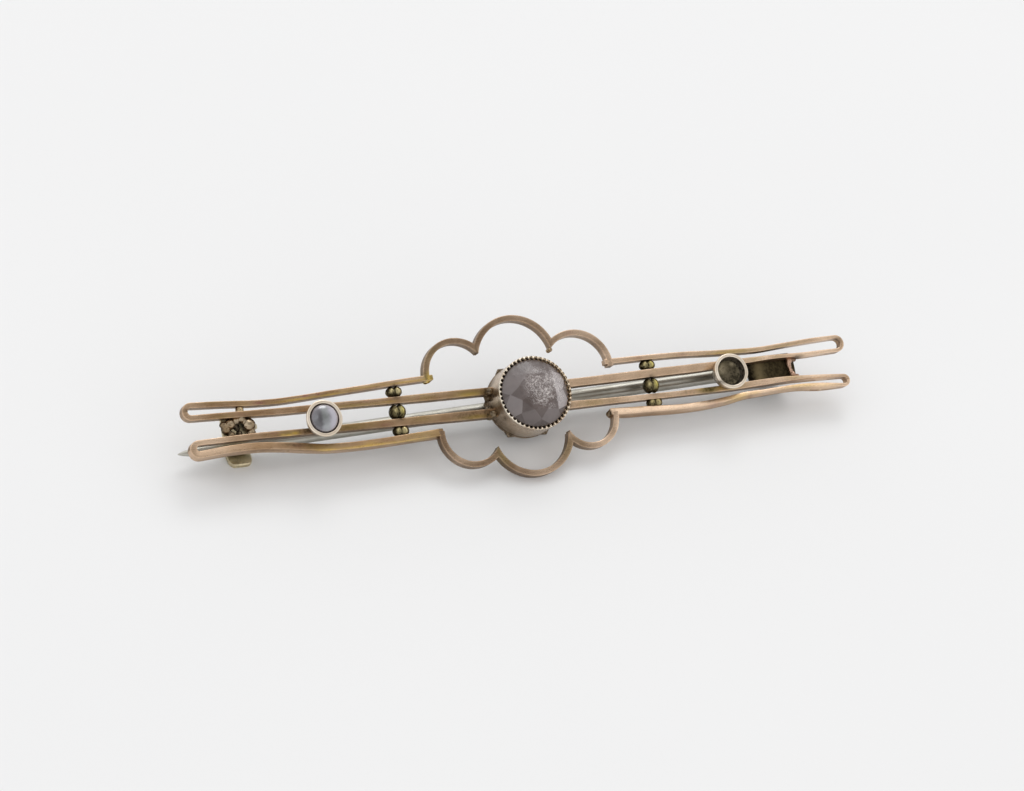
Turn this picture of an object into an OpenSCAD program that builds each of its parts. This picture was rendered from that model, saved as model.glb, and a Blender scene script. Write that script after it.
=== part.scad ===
// Bar brooch of soldered strip: two long turned loops, a scalloped surround,
// a round faceted stone in a tall collet, a half pearl and an empty cup, with
// a steel pin behind. Millimetres, modelled as the brooch lies on a table.

/* [Strips] */
// Width of the scallops' strip, seen from the front
strip_w = 0.46; // [0.4:0.02:0.6]
// Depth of every strip, front to back
strip_h = 0.8; // [0.7:0.05:0.95]

/* [Spacer balls] */
// Distance of the two rows of balls from the middle
ball_x = 10.55; // [9:0.05:12]
// Radius of the balls between the inner bars
ball_mid_r = 0.64; // [0.62:0.01:0.7]
// Radius of the balls between inner and outer bars
ball_side_r = 0.46; // [0.44:0.01:0.6]

/* [Centre setting] */
// Outer radius of the centre collet
collet_r = 2.9; // [2.7:0.05:3.1]
// Height of its rim over the front of the strips
collet_top = 1.73; // [1.4:0.05:2]
// Depth of its base behind the front of the strips
collet_base = 1.36; // [1.2:0.02:1.5]
// Girdle radius of the stone
stone_r = 2.5; // [2.3:0.02:2.52]
// Radius of the stone's table
table_r = 1.5; // [1.2:0.05:1.7]
// Height of the crown, girdle to table
crown_h = 0.85; // [0.5:0.05:1]

/* [Small settings] */
// Distance of the small cups from the middle
cup_x = 16.9; // [15:0.1:18]
// Rim radius of the small cups, outside
cup_r = 1.43; // [1.3:0.01:1.5]
// Height of the small cups
cup_h = 1.1; // [0.8:0.05:1.2]
// Radius of the half pearl
pearl_r = 1.08; // [1:0.01:1.1]

/* [Pin and hinge] */
// Radius of the steel pin
pin_r = 0.55; // [0.45:0.01:0.58]
// Place of the hinge along the brooch
hinge_x = 21.8; // [21:0.1:22.5]
// Depth of the rivet behind the front of the strips
hinge_depth = 2.3; // [2.25:0.05:2.5]
// Radius of the rivet
rivet_r = 0.35; // [0.3:0.01:0.38]
// Radius of the pin's eye round the rivet
eye_r = 0.75; // [0.65:0.01:0.78]
// Angle to which the pin is drawn open
pin_open = 0; // [0:5:100]

/* [Catch] */
// Place of the catch along the brooch
catch_x = -22.55; // [-23:0.05:-22]
// Width of the catch strip
catch_w = 1.8; // [1.7:0.1:2.2]
// Thickness of the catch strip
catch_t = 0.4; // [0.3:0.05:0.5]
// Clear space left between the hook and the pin
catch_gap = 0.2; // [0.12:0.02:0.3]

/* [Hidden] */
$fn = 48;

// Gap kept between pieces that are fitted into one another
seat_gap = 0.02;

// Girdle of the stone, and the clipped sheet under its collet
girdle_z = collet_top - 0.36;
sheet_r = collet_r + 0.25;
sheet_turn = 58;
sheet_t = 0.24;

// Paths of the bars: columns are x and y of the strip's middle line, and its width there
upper_outer_left = [[-26.8, 2.31, 0.42], [-24, 2.14, 0.43], [-22, 1.98, 0.42], [-20, 1.91, 0.42],
                    [-18, 1.97, 0.42], [-16, 2.07, 0.42], [-13, 2.2, 0.43], [-10, 2.34, 0.43],
                    [-7.35, 2.42, 0.44]];
upper_inner_left = [[-26.8, 1.35, 0.42], [-24, 1.27, 0.45], [-20, 1.14, 0.49], [-15, 1.08, 0.5],
                    [-12, 1.01, 0.51], [-8, 0.96, 0.58], [-2.5, 0.88, 0.55]];
lower_inner_left = [[-26.65, -0.56, 0.4], [-22, -0.54, 0.48], [-18, -0.63, 0.48], [-15, -0.68, 0.5],
                    [-12, -0.72, 0.56], [-8, -0.77, 0.65], [-2.5, -0.85, 0.66]];
lower_outer_left = [[-26.65, -1.5, 0.7], [-24, -1.34, 0.7], [-22, -1.35, 0.7], [-20, -1.56, 0.68],
                    [-18, -1.86, 0.68], [-17, -2.0, 0.65], [-15, -2.1, 0.64], [-12, -2.08, 0.65],
                    [-10, -2.0, 0.66], [-7.3, -1.9, 0.75]];
upper_inner_right = [[2.5, 0.8, 0.62], [8, 0.84, 0.64], [11, 0.88, 0.66], [15, 0.9, 0.62],
                     [19, 1.0, 0.46], [21, 1.04, 0.41], [24, 0.98, 0.38], [27.05, 1.04, 0.28]];
upper_outer_right = [[6.95, 2.15, 0.42], [11, 2.14, 0.4], [14, 2.06, 0.38], [16, 1.94, 0.38],
                     [18, 1.85, 0.37], [20, 1.8, 0.37], [22, 1.91, 0.35], [25, 2.07, 0.34],
                     [27.05, 2.12, 0.28]];
lower_inner_right = [[2.5, -0.89, 0.6], [6, -0.93, 0.5], [18, -0.93, 0.5], [20, -0.87, 0.52],
                     [22, -0.84, 0.5], [24, -0.9, 0.35], [27.1, -1.05, 0.26]];
lower_outer_right = [[6.6, -1.84, 0.72], [8, -1.93, 0.75], [10, -2.01, 0.72], [12, -2.12, 0.66],
                     [15, -2.08, 0.64], [17, -1.89, 0.6], [18, -1.73, 0.55], [20, -1.64, 0.46],
                     [23, -1.54, 0.46], [25, -1.68, 0.55], [27.1, -1.8, 0.26]];
BARS = [upper_outer_left, upper_inner_left, lower_inner_left, lower_outer_left,
        upper_inner_right, upper_outer_right, lower_inner_right, lower_outer_right];

// Turned ends: columns are x, y, radius of the middle line, first and last angle,
// first and last width
TURNS = [[-26.72, 1.83, 0.48, 90, 270, 0.42, 0.42], [-26.55, -1.03, 0.47, 90, 270, 0.4, 0.7],
         [26.93, 1.58, 0.54, -90, 90, 0.28, 0.28], [26.98, -1.425, 0.375, -90, 90, 0.26, 0.26]];

// Scallops: columns are x, y, radius of the middle line, first and last angle
upper_mid = [-0.34, 3.1, 3.28, 3, 165];
lower_mid = [-0.21, -2.6, 3.24, 190, 352];
UPPER_SCALLOPS = [[-5.28, 2.54, 2.53, 36, 186], upper_mid, [4.58, 1.94, 2.79, -3, 142]];
LOWER_SCALLOPS = [[-4.95, -2.13, 2.5, 172, 336], lower_mid, [4.76, -1.99, 2.24, 205, 364]];
// Pointed foot that runs past the first upper scallop
FOOT_POINT = [[-7.85, 2.55], [-7.85, 2.15], [-7.2, 2.08]];

// Balls between the bars: columns are x, y and radius
BALLS = [[-ball_x, 1.68, ball_side_r], [-ball_x, 0.12, ball_mid_r], [-ball_x, -1.36, ball_side_r],
         [ball_x, 1.57, ball_side_r], [ball_x, -0.06, ball_mid_r], [ball_x, -1.43, ball_side_r]];
ball_depth = 0.42;

// Solder left on the catch's plate: columns are x, y and radius
LUMPS = [[-22.0, 0.6, 0.5], [-22.7, 0.9, 0.4], [-23.4, 0.55, 0.5], [-22.9, 1.6, 0.4], [-22.3, -0.3, 0.3]];
// Solder where the inner bars meet the centre collet: columns are x and y
COLLET_LUMPS = [[-2.95, 0.86], [-2.95, -0.86], [2.95, 0.8], [2.95, -0.89]];
collet_lump_r = 0.45;

// The pin's line, from the rivet to its point
hinge_y = 0.64;
pin_yaw = 1.57;
pin_drop = 0.6;
hinge_at = [hinge_x, hinge_y, -hinge_depth];
pin_len = 49.25;
point_len = 4.5;
// The stem is straight between these two distances from the rivet
straight_from = 3;
straight_to = 43;
eye_w = 1;
bore_r = rivet_r + 0.05;
function pin_at(x) = [x, hinge_y - (hinge_x - x) * tan(pin_yaw),
                      -hinge_depth - (hinge_x - x) * tan(pin_drop)];

// The hook's bend lies round the pin
catch_at = pin_at(catch_x);
hook_in_r = pin_r + catch_gap;
hook_out_r = hook_in_r + catch_t;
tongue_rise = 28;
tongue_len = 1.23;

// Two ears hold the rivet
ear_t = 0.24;
ear_in = eye_w / 2 + 0.06;
ear_out = ear_in + ear_t;
ear_r = 1.25;
plate_t = 0.3;

// The brooch rests on the hook's bend, the hinge's lower ear and the lower scallop
lean = 28.5;
rest_a = [catch_x, catch_at[1] - hook_out_r * sin(lean), catch_at[2] - hook_out_r * cos(lean)];
rest_b = [hinge_x, hinge_y - ear_out, -hinge_depth - ear_r];
rest_c = [lower_mid[0], lower_mid[1] - lower_mid[2] - strip_w / 2, -strip_h];
rest_n = cross(rest_c - rest_a, rest_b - rest_a);
turn_x = atan2(rest_n[1], rest_n[2]);
turn_y = atan2(-rest_n[0], norm([rest_n[1], rest_n[2]]));
function lying_y(y, z) = y * cos(turn_x) - z * sin(turn_x);
function lying_z(p) = -sin(turn_y) * p[0] + cos(turn_y) * (sin(turn_x) * p[1] + cos(turn_x) * p[2]);
top_y = upper_mid[1] + upper_mid[2] + strip_w / 2;
left_end = TURNS[0][0] - TURNS[0][2] - TURNS[0][5] / 2;
right_end = TURNS[2][0] + TURNS[2][2] + TURNS[2][5] / 2;
mid_x = (left_end + right_end) / 2;
mid_y = (lying_y(top_y, -strip_h) + lying_y(rest_c[1], 0)) / 2;

// Turns and sets down the brooch as it lies by itself
module lying() {
    translate([-mid_x, -mid_y, -lying_z(rest_a)])
        rotate([turn_x, turn_y, 0])
            children();
}

// Direction of a path at one of its points, and the outline of a strip along it
function place(path, i) = [path[i][0], path[i][1]];
function heading(path, i) =
    let (a = place(path, max(i - 1, 0)), b = place(path, min(i + 1, len(path) - 1)))
    (b - a) / norm(b - a);
function beside(path, i, side) =
    place(path, i) + side * path[i][2] / 2 * [-heading(path, i)[1], heading(path, i)[0]];
function strip_outline(path) = concat(
    [for (i = [0:len(path) - 1]) beside(path, i, 1)],
    [for (i = [len(path) - 1:-1:0]) beside(path, i, -1)]);

// Path of a turned end, in the columns of the bars
turn_steps = 12;
function turn_path(turn) = [
    for (i = [0:turn_steps])
        let (part = i / turn_steps, a = turn[3] + (turn[4] - turn[3]) * part)
        [turn[0] + turn[2] * cos(a), turn[1] + turn[2] * sin(a), turn[5] + (turn[6] - turn[5]) * part]];

// Outline of a pie slice that reaches past r, used to cut a ring
function slice_outline(r, from, to) = concat(
    [[0, 0]],
    [for (a = [from:(to - from) / 6:to + 0.1]) 1.6 * r * [cos(a), sin(a)]]);

module arc_strip(arc) {
    translate([arc[0], arc[1]])
        intersection() {
            difference() {
                circle(r = arc[2] + strip_w / 2, $fn = 96);
                circle(r = arc[2] - strip_w / 2, $fn = 96);
            }
            polygon(slice_outline(arc[2] + strip_w, arc[3], arc[4]));
        }
}

// A row of scallops, whose ends are trimmed to points inside
module scallops(arcs) {
    difference() {
        union() for (arc = arcs) arc_strip(arc);
        for (arc = arcs) translate([arc[0], arc[1]]) circle(r = arc[2] - strip_w / 2, $fn = 96);
    }
}

module strip_plan() {
    for (path = BARS) polygon(strip_outline(path));
    for (turn = TURNS) polygon(strip_outline(turn_path(turn)));
    scallops(UPPER_SCALLOPS);
    scallops(LOWER_SCALLOPS);
    polygon(FOOT_POINT);
}

module frame() {
    color("#a5825f")
        lying()
            difference() {
                union() {
                    translate([0, 0, -strip_h]) linear_extrude(height = strip_h) strip_plan();
                    for (ball = BALLS)
                        translate([ball[0], ball[1], -ball_depth]) sphere(r = ball[2]);
                    for (lump = LUMPS)
                        translate([lump[0], lump[1], lump[2] - strip_h]) sphere(r = lump[2]);
                    for (lump = COLLET_LUMPS)
                        translate([lump[0], lump[1], -strip_h / 2]) sphere(r = collet_lump_r);
                    hinge_solder();
                }
                cylinder(r = collet_r + seat_gap, h = 8, center = true, $fn = 96);
            }
}

// Solder bridge between the inner bars at the end of the hinge plate, hollow at its end
module hinge_solder() {
    bridge_x = 22.6;
    bridge_end = 23.7;
    bridge_low = -0.7;
    bridge_w = 1.75;
    below_face = 0.3;
    hollow_r = 0.75;
    difference() {
        translate([bridge_x, bridge_low, -strip_h])
            cube([bridge_end - bridge_x, bridge_w, strip_h - below_face]);
        translate([bridge_end + 0.45, bridge_low + bridge_w / 2, -2]) cylinder(r = hollow_r, h = 3);
    }
}

module centre_collet() {
    lip = 0.38;
    wall = 0.3;
    ledge_z = girdle_z - 0.16;
    color("#cdbea5")
        lying() {
            rotate_extrude($fn = 96)
                polygon([[0, -collet_base], [collet_r, -collet_base], [collet_r, collet_top - 0.12],
                         [collet_r - 0.12, collet_top], [collet_r - lip, collet_top],
                         [collet_r - wall, collet_top - 0.3], [collet_r - wall, ledge_z],
                         [collet_r - 2 * wall, ledge_z], [collet_r - 2 * wall, sheet_t - collet_base],
                         [0, sheet_t - collet_base]]);
            // Clipped sheet under the cup, whose six corners stand out a little
            translate([0, 0, -collet_base]) rotate(sheet_turn) cylinder(r = sheet_r, h = sheet_t, $fn = 6);
        }
}

module centre_stone() {
    girdle_t = 0.08;
    star_r = (table_r + stone_r) / 2 + 0.1;
    pavilion_h = 1.5;
    color("#8f8389")
        lying()
            translate([0, 0, girdle_z])
                hull() {
                    rotate(22.5) cylinder(r = table_r, h = crown_h, $fn = 8);
                    cylinder(r = star_r, h = crown_h * 0.52, $fn = 8);
                    rotate(11.25) cylinder(r = stone_r, h = girdle_t, $fn = 16);
                    translate([0, 0, -pavilion_h * 0.55])
                        rotate(22.5) cylinder(r = stone_r * 0.5, h = 0.1, $fn = 8);
                    translate([0, 0, -pavilion_h]) cylinder(r = 0.1, h = 0.1, $fn = 8);
                }
}

// Small cup that widens to a smooth rim, standing on the two inner bars
module small_cup(foot_r) {
    lip = 0.26;
    wall = 0.22;
    rotate_extrude($fn = 64)
        polygon([[0, 0], [foot_r, 0], [cup_r, cup_h - 0.1], [cup_r - 0.08, cup_h],
                 [cup_r - lip, cup_h - 0.02], [foot_r - wall + 0.12, 0.55], [foot_r - wall, cup_floor],
                 [0, cup_floor]]);
}

cup_floor = 0.2;
pearl_seat = [-cup_x, 0, 0];
empty_seat = [cup_x, 0.1, 0];

module pearl_collet() {
    color("#cfc0a6") lying() translate(pearl_seat) small_cup(1.12);
}

module empty_collet() {
    color("#cfc0a6") lying() translate(empty_seat) small_cup(1.18);
}

// Half pearl that fills its cup: a low dome over a foot that narrows with the cup
module half_pearl() {
    dome_z = 0.55;
    dome_h = 0.68;
    foot = [[0, 0], [0.86, 0], [0.98, 0.34], [1.05, 0.6], [pearl_r, 0.75], [pearl_r, 2], [0, 2]];
    color("#8d93a0")
        lying()
            translate(pearl_seat + [0, 0, cup_floor + seat_gap])
                rotate_extrude($fn = 64)
                    intersection() {
                        translate([0, dome_z]) scale([1, dome_h / pearl_r]) circle(r = pearl_r);
                        polygon(foot);
                    }
}

module catch_hook() {
    plate_z = -strip_h - plate_t;
    plate_more = 0.9;
    plate_less = 0.3;
    plate_low = -0.75;
    plate_high = 1.35;
    color("#b6a06c")
        lying() {
            // Plate soldered behind the two inner bars, longer than the hook is wide
            translate([catch_x - catch_w / 2 - plate_more, plate_low, plate_z])
                cube([catch_w + plate_more - plate_less, plate_high - plate_low, plate_t]);
            intersection() {
                translate([catch_x - catch_w / 2, catch_at[1], catch_at[2]])
                    rotate([90, 0, 90])
                        linear_extrude(height = catch_w) hook_profile(plate_z - catch_at[2]);
                translate([0, 0, -6]) linear_extrude(height = 6) hook_plan();
            }
        }
}

// Section of the hook: leg beside the pin, bend below it, and the straight tongue
module hook_profile(leg_h) {
    bend_end = 270 - tongue_rise;
    translate([hook_in_r, 0]) square([catch_t, leg_h + plate_t / 2]);
    intersection() {
        difference() {
            circle(r = hook_out_r, $fn = 64);
            circle(r = hook_in_r, $fn = 64);
        }
        polygon(slice_outline(hook_out_r, bend_end, 360));
    }
    rotate(bend_end) translate([hook_in_r, -tongue_len]) square([catch_t, tongue_len]);
}

// Outline of the hook from the front, with the corners of the tongue rounded off
module hook_plan() {
    corner = 0.75;
    tip_y = catch_at[1] - hook_out_r * sin(tongue_rise) - tongue_len * cos(tongue_rise);
    for (side = [-1, 1])
        translate([catch_x + side * (catch_w / 2 - corner), tip_y + corner]) circle(r = corner);
    translate([catch_x - catch_w / 2, tip_y + corner]) square([catch_w, 6]);
    translate([catch_x - catch_w / 2 + corner, tip_y]) square([catch_w - 2 * corner, 6]);
}

module hinge_bracket() {
    plate_x = 19.3;
    plate_end = 23.3;
    plate_low = -0.85;
    color("#9d8462")
        lying()
            difference() {
                union() {
                    translate([plate_x, plate_low, -strip_h - plate_t])
                        cube([plate_end - plate_x, hinge_y + ear_out - plate_low, plate_t]);
                    for (side = [-1, 1]) translate([0, hinge_y + side * (ear_in + ear_t / 2), 0]) ear();
                }
                translate(hinge_at)
                    rotate([90, 0, 0]) cylinder(r = rivet_r + seat_gap, h = 6, center = true);
            }
}

module ear() {
    translate([hinge_x, 0, -hinge_depth])
        rotate([90, 0, 0])
            linear_extrude(height = ear_t, center = true) {
                circle(r = ear_r);
                translate([-ear_r, 0]) square([2 * ear_r, hinge_depth - strip_h - plate_t / 2]);
            }
}

module hinge_rivet() {
    head_t = 0.14;
    head_r = 0.52;
    half = ear_out + seat_gap;
    color("#8c7a63")
        lying()
            translate(hinge_at)
                rotate([90, 0, 0])
                    rotate_extrude()
                        polygon([[0, -half - head_t], [head_r - 0.08, -half - head_t], [head_r, -half],
                                 [rivet_r, -half], [rivet_r, half], [head_r, half],
                                 [head_r - 0.08, half + head_t], [0, half + head_t]]);
}

module pin_stem() {
    color("#8d8f8c")
        lying()
            translate(hinge_at)
                rotate([0, -pin_open, 0])
                    difference() {
                        union() {
                            rotate([90, 0, 0]) cylinder(r = eye_r, h = eye_w, center = true);
                            rotate([0, 0, pin_yaw])
                                rotate([0, -90 - pin_drop, 0])
                                    pin_wire();
                        }
                        rotate([90, 0, 0]) cylinder(r = bore_r, h = 4, center = true);
                    }
}

// Round wire that narrows to a point, along +Z from the rivet
module pin_wire() {
    root = 0.3;
    root_r = pin_r - 0.1;
    tip_r = 0.04;
    rotate_extrude($fn = 64)
        polygon([[0, root], [root_r, root], [pin_r, straight_from], [pin_r, straight_to],
                 [pin_r * 0.97, pin_len - point_len], [pin_r * 0.8, pin_len - point_len * 0.5],
                 [pin_r * 0.38, pin_len - 0.5], [tip_r, pin_len], [0, pin_len]]);
}

frame();
centre_collet();
centre_stone();
pearl_collet();
half_pearl();
empty_collet();
catch_hook();
hinge_bracket();
hinge_rivet();
pin_stem();
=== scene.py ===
"""Looks of the bar brooch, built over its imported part.

Every piece is shaped in millimetres in the brooch's own frame, as the part's source is:
X along the bars toward the hinge, Y toward the upper scallops, Z out of the face, with
the front of the strips at Z = 0. LIE then turns it and sets it down as the brooch lies.
"""

import math

import bmesh
import bpy
import numpy as np
from mathutils import Matrix, Vector, noise


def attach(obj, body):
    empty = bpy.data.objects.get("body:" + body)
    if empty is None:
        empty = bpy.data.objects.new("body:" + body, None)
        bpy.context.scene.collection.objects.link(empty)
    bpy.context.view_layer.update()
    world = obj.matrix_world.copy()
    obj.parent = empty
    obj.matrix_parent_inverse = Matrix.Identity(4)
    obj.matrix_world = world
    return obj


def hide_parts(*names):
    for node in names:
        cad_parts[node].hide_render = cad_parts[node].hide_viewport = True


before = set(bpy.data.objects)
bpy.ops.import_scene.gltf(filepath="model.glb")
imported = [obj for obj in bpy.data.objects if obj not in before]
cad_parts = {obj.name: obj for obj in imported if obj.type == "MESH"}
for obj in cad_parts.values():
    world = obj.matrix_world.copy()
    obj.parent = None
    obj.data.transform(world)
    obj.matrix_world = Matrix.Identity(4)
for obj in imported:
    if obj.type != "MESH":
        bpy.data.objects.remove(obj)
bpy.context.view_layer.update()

# Sizes, as in the part

MM = 0.001
# Strips of the frame, seen from the front and front to back
STRIP_W = 0.46
STRIP_H = 0.8

# Spacer balls, and half the length that their two lobes make together
BALL_X = 10.55
BALL_DEPTH = 0.42
BALL_MID_R = 0.64
BALL_SIDE_R = 0.46
LOBES_LONG = 0.66

# Middle setting and its stone
COLLET_R = 2.9
COLLET_TOP = 1.73
COLLET_BASE = 1.36
GIRDLE_Z = COLLET_TOP - 0.36
STONE_R = 2.5
TABLE_R = 1.5
CROWN_H = 0.85

# Small cups, and how far the empty one sits above the middle of the bars
CUP_X = 16.9
CUP_R = 1.43
CUP_H = 1.1
EMPTY_CUP_Y = 0.1
PEARL_R = 1.08

# Pin, its eye and the rivet
HINGE = Vector((21.8, 0.64, -2.3))
PIN_YAW = math.radians(1.57)
PIN_DROP = math.radians(0.6)
PIN_R = 0.55
PIN_LEN = 49.25
POINT_LEN = 4.5
EYE_R = 0.75
EYE_W = 1.0
RIVET_R = 0.35
BORE_R = RIVET_R + 0.05

# Catch: its middle along the bars, width, thickness, room round the pin, and its tongue
CATCH_X = -22.55
CATCH_W = 1.8
CATCH_T = 0.4
CATCH_GAP = 0.2
TONGUE_RISE = math.radians(28)
TONGUE_LEN = 1.23

# Plates behind the bars, and the ears of the hinge
EAR_T = 0.24
EAR_IN = EYE_W / 2 + 0.06
EAR_OUT = EAR_IN + EAR_T
EAR_R = 1.25
PLATE_T = 0.3
PLATE_BACK = -STRIP_H - PLATE_T

# Bars: columns are x and y of the strip's middle line, the width it covers there and, where
# the strip leans, by how many degrees
UPPER_OUTER_LEFT = [(-26.72, 2.31, 0.42), (-24, 2.14, 0.43), (-22, 1.98, 0.42), (-20, 1.91, 0.42),
                    (-18, 1.97, 0.42), (-16, 2.07, 0.42), (-13, 2.2, 0.43), (-10, 2.34, 0.43),
                    (-7.35, 2.42, 0.44)]
UPPER_INNER_LEFT = [(-26.72, 1.35, 0.42), (-24, 1.27, 0.45), (-20, 1.14, 0.49), (-15, 1.08, 0.5),
                    (-12, 1.01, 0.51), (-8, 0.96, 0.58), (-2.7, 0.88, 0.55)]
LOWER_INNER_LEFT = [(-26.55, -0.56, 0.4), (-22, -0.54, 0.48), (-18, -0.63, 0.48),
                    (-15, -0.68, 0.5), (-12, -0.72, 0.56), (-8, -0.77, 0.65), (-2.7, -0.85, 0.66)]
LOWER_OUTER_LEFT = [(-26.55, -1.5, 0.7, 10), (-24, -1.34, 0.7, 10), (-22, -1.35, 0.7, 10),
                    (-20, -1.56, 0.68, 9), (-18, -1.86, 0.68, 9), (-17, -2.0, 0.65, 8),
                    (-15, -2.1, 0.64, 8), (-12, -2.08, 0.65, 8), (-10, -2.0, 0.66, 9),
                    (-7.3, -1.9, 0.72, 10)]
UPPER_INNER_RIGHT = [(2.7, 0.8, 0.62), (8, 0.84, 0.64), (11, 0.88, 0.66), (15, 0.9, 0.62),
                     (19, 1.0, 0.46, 3), (21, 1.04, 0.41, 5), (24, 0.98, 0.38, 7),
                     (25.8, 1.02, 0.33, 5), (26.93, 1.04, 0.28, 0)]
UPPER_OUTER_RIGHT = [(6.95, 2.15, 0.42), (11, 2.14, 0.4), (14, 2.06, 0.38), (16, 1.94, 0.38),
                     (18, 1.85, 0.37), (20, 1.8, 0.37), (22, 1.91, 0.35), (25, 2.07, 0.34),
                     (26.93, 2.12, 0.28)]
LOWER_INNER_RIGHT = [(2.7, -0.89, 0.6), (6, -0.93, 0.5), (18, -0.93, 0.5), (20, -0.87, 0.52, 2),
                     (22, -0.84, 0.5, 7), (24, -0.9, 0.42, 11), (25.5, -0.97, 0.36, 10),
                     (26.98, -1.05, 0.26, 0)]
LOWER_OUTER_RIGHT = [(6.6, -1.84, 0.7, 12), (8, -1.93, 0.75, 15), (10, -2.01, 0.72, 17),
                     (12, -2.12, 0.66, 19), (15, -2.08, 0.64, 19), (17, -1.89, 0.6, 18),
                     (18, -1.73, 0.55, 17), (20, -1.64, 0.46, 15), (23, -1.54, 0.46, 15),
                     (25, -1.68, 0.55, 16), (26.98, -1.8, 0.26, 0)]
# Turned ends: columns are x, y, radius of the middle line, first and last angle, first and
# last width
TURNS = [(-26.72, 1.83, 0.48, 90, 270, 0.42, 0.42), (-26.55, -1.03, 0.47, 90, 270, 0.4, 0.7),
         (26.93, 1.58, 0.54, -90, 90, 0.28, 0.28), (26.98, -1.425, 0.375, 90, -90, 0.26, 0.26)]

# Scallops: columns are x, y, radius of the middle line, first and last angle
UPPER_SCALLOPS = [(-5.28, 2.54, 2.53, 186, 36), (-0.34, 3.1, 3.28, 165, 3),
                  (4.58, 1.94, 2.79, 142, -3)]
LOWER_SCALLOPS = [(-4.95, -2.13, 2.5, 172, 336), (-0.21, -2.6, 3.24, 190, 352),
                  (4.76, -1.99, 2.24, 205, 364)]

# Spacer balls: columns are x, y and radius
BALLS = [(-BALL_X, 1.68, BALL_SIDE_R), (-BALL_X, 0.12, BALL_MID_R), (-BALL_X, -1.36, BALL_SIDE_R),
         (BALL_X, 1.57, BALL_SIDE_R), (BALL_X, -0.06, BALL_MID_R), (BALL_X, -1.43, BALL_SIDE_R)]


# How the brooch lies

# Where the hook's bend touches the table, round from its back
HOOK_TOUCH = math.radians(28.5)


def pin_at(x):
    """Point of the pin's middle line at x."""
    back = HINGE.x - x
    return Vector((x, HINGE.y - back * math.tan(PIN_YAW), HINGE.z - back * math.tan(PIN_DROP)))


CATCH_AT = pin_at(CATCH_X)
HOOK_IN = PIN_R + CATCH_GAP
HOOK_OUT = HOOK_IN + CATCH_T


def lying_matrix():
    """From the brooch's own frame to the row frame: it rests on the hook, an ear and a scallop."""
    hook = CATCH_AT - HOOK_OUT * Vector((0, math.sin(HOOK_TOUCH), math.cos(HOOK_TOUCH)))
    ear = Vector((HINGE.x, HINGE.y - EAR_OUT, HINGE.z - EAR_R))
    low = LOWER_SCALLOPS[1]
    scallop = Vector((low[0], low[1] - low[2] - STRIP_W / 2, -STRIP_H))
    normal = (scallop - hook).cross(ear - hook)
    turn_x = math.atan2(normal.y, normal.z)
    turn_y = math.atan2(-normal.x, math.hypot(normal.y, normal.z))
    turn = Matrix.Rotation(turn_y, 4, "Y") @ Matrix.Rotation(turn_x, 4, "X")
    high = UPPER_SCALLOPS[1]
    top_y = high[1] + high[2] + STRIP_W / 2
    left, right = TURNS[0], TURNS[2]
    mid_x = (right[0] + right[2] + right[5] / 2 + left[0] - left[2] - left[5] / 2) / 2
    mid_y = (top_y * math.cos(turn_x) + STRIP_H * math.sin(turn_x)
             + scallop.y * math.cos(turn_x)) / 2
    set_down = Matrix.Translation(Vector((-mid_x, -mid_y, -(turn @ hook).z)))
    return Matrix.Scale(MM, 4) @ set_down @ turn


LIE = lying_matrix()


# Mesh tools

class Build:
    """Points, faces and the bright-edge mask of a piece while it is shaped."""

    def __init__(self):
        self.points = []
        self.faces = []
        self.edge = []

    def add(self, points, faces, edge=None):
        """Adds a shape to the piece."""
        first = len(self.points)
        self.points += [tuple(p) for p in points]
        self.faces += [[first + i for i in f] for f in faces]
        self.edge += list(edge) if edge is not None else [0.0] * len(points)

    def move(self, matrix):
        """Moves all that is in the piece so far."""
        self.points = [tuple(matrix @ Vector(p)) for p in self.points]


def tube_faces(rings, around):
    """Quads between closed rings of points, one after another."""
    return [[r * around + i, r * around + (i + 1) % around,
             (r + 1) * around + (i + 1) % around, (r + 1) * around + i]
            for r in range(rings - 1) for i in range(around)]


def capped(build, rings, around, points, edge):
    """A tube of rings with a fan over each end."""
    points = [tuple(p) for p in points]
    first = np.mean(points[:around], axis=0)
    last = np.mean(points[-around:], axis=0)
    n = len(points)
    fans = [[(i + 1) % around, i, n] for i in range(around)]
    fans += [[n - around + i, n - around + (i + 1) % around, n + 1] for i in range(around)]
    build.add(points + [tuple(first), tuple(last)], tube_faces(rings, around) + fans,
              list(edge) + [0, 0])


def wave(x, y, seed, size=1.0):
    """Smooth noise from -1 to 1, the same on each run."""
    return noise.noise(Vector((x / size, y / size, seed * 7.31)))


def lathe(build, profile, segments=96, centre=(0, 0, 0), shape=None, edge=None):
    """Turns a profile of (radius, height) about Z. shape(angle, r, z) may change a point.

    A profile that comes back to its start makes a ring, and any other is closed at its ends.
    """
    points, masks = [], []
    for k, (r, z) in enumerate(profile):
        for s in range(segments):
            a = math.tau * s / segments
            rr, zz = shape(a, r, z) if shape else (r, z)
            points.append((centre[0] + rr * math.cos(a), centre[1] + rr * math.sin(a),
                           centre[2] + zz))
            masks.append(edge[k] if edge else 0.0)
    if profile[0] == profile[-1]:
        build.add(points, tube_faces(len(profile), segments), masks)
    else:
        capped(build, len(profile), segments, points, masks)


def rounded(profile, r, steps=3):
    """A profile with its corners turned to small arcs of about radius r."""
    out = [profile[0]]
    for a, b, c in zip(profile, profile[1:], profile[2:]):
        a, b, c = Vector(a), Vector(b), Vector(c)
        cut = min(r, (a - b).length * 0.45, (c - b).length * 0.45)
        p, q = b + (a - b).normalized() * cut, b + (c - b).normalized() * cut
        for k in range(steps + 1):
            t = k / steps
            out.append(tuple((1 - t) ** 2 * p + 2 * t * (1 - t) * b + t * t * q))
    out.append(profile[-1])
    return out


# Edges of a plate that turn by more than this, in radians, are bevelled
SHARP_TURN = 0.6


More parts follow.
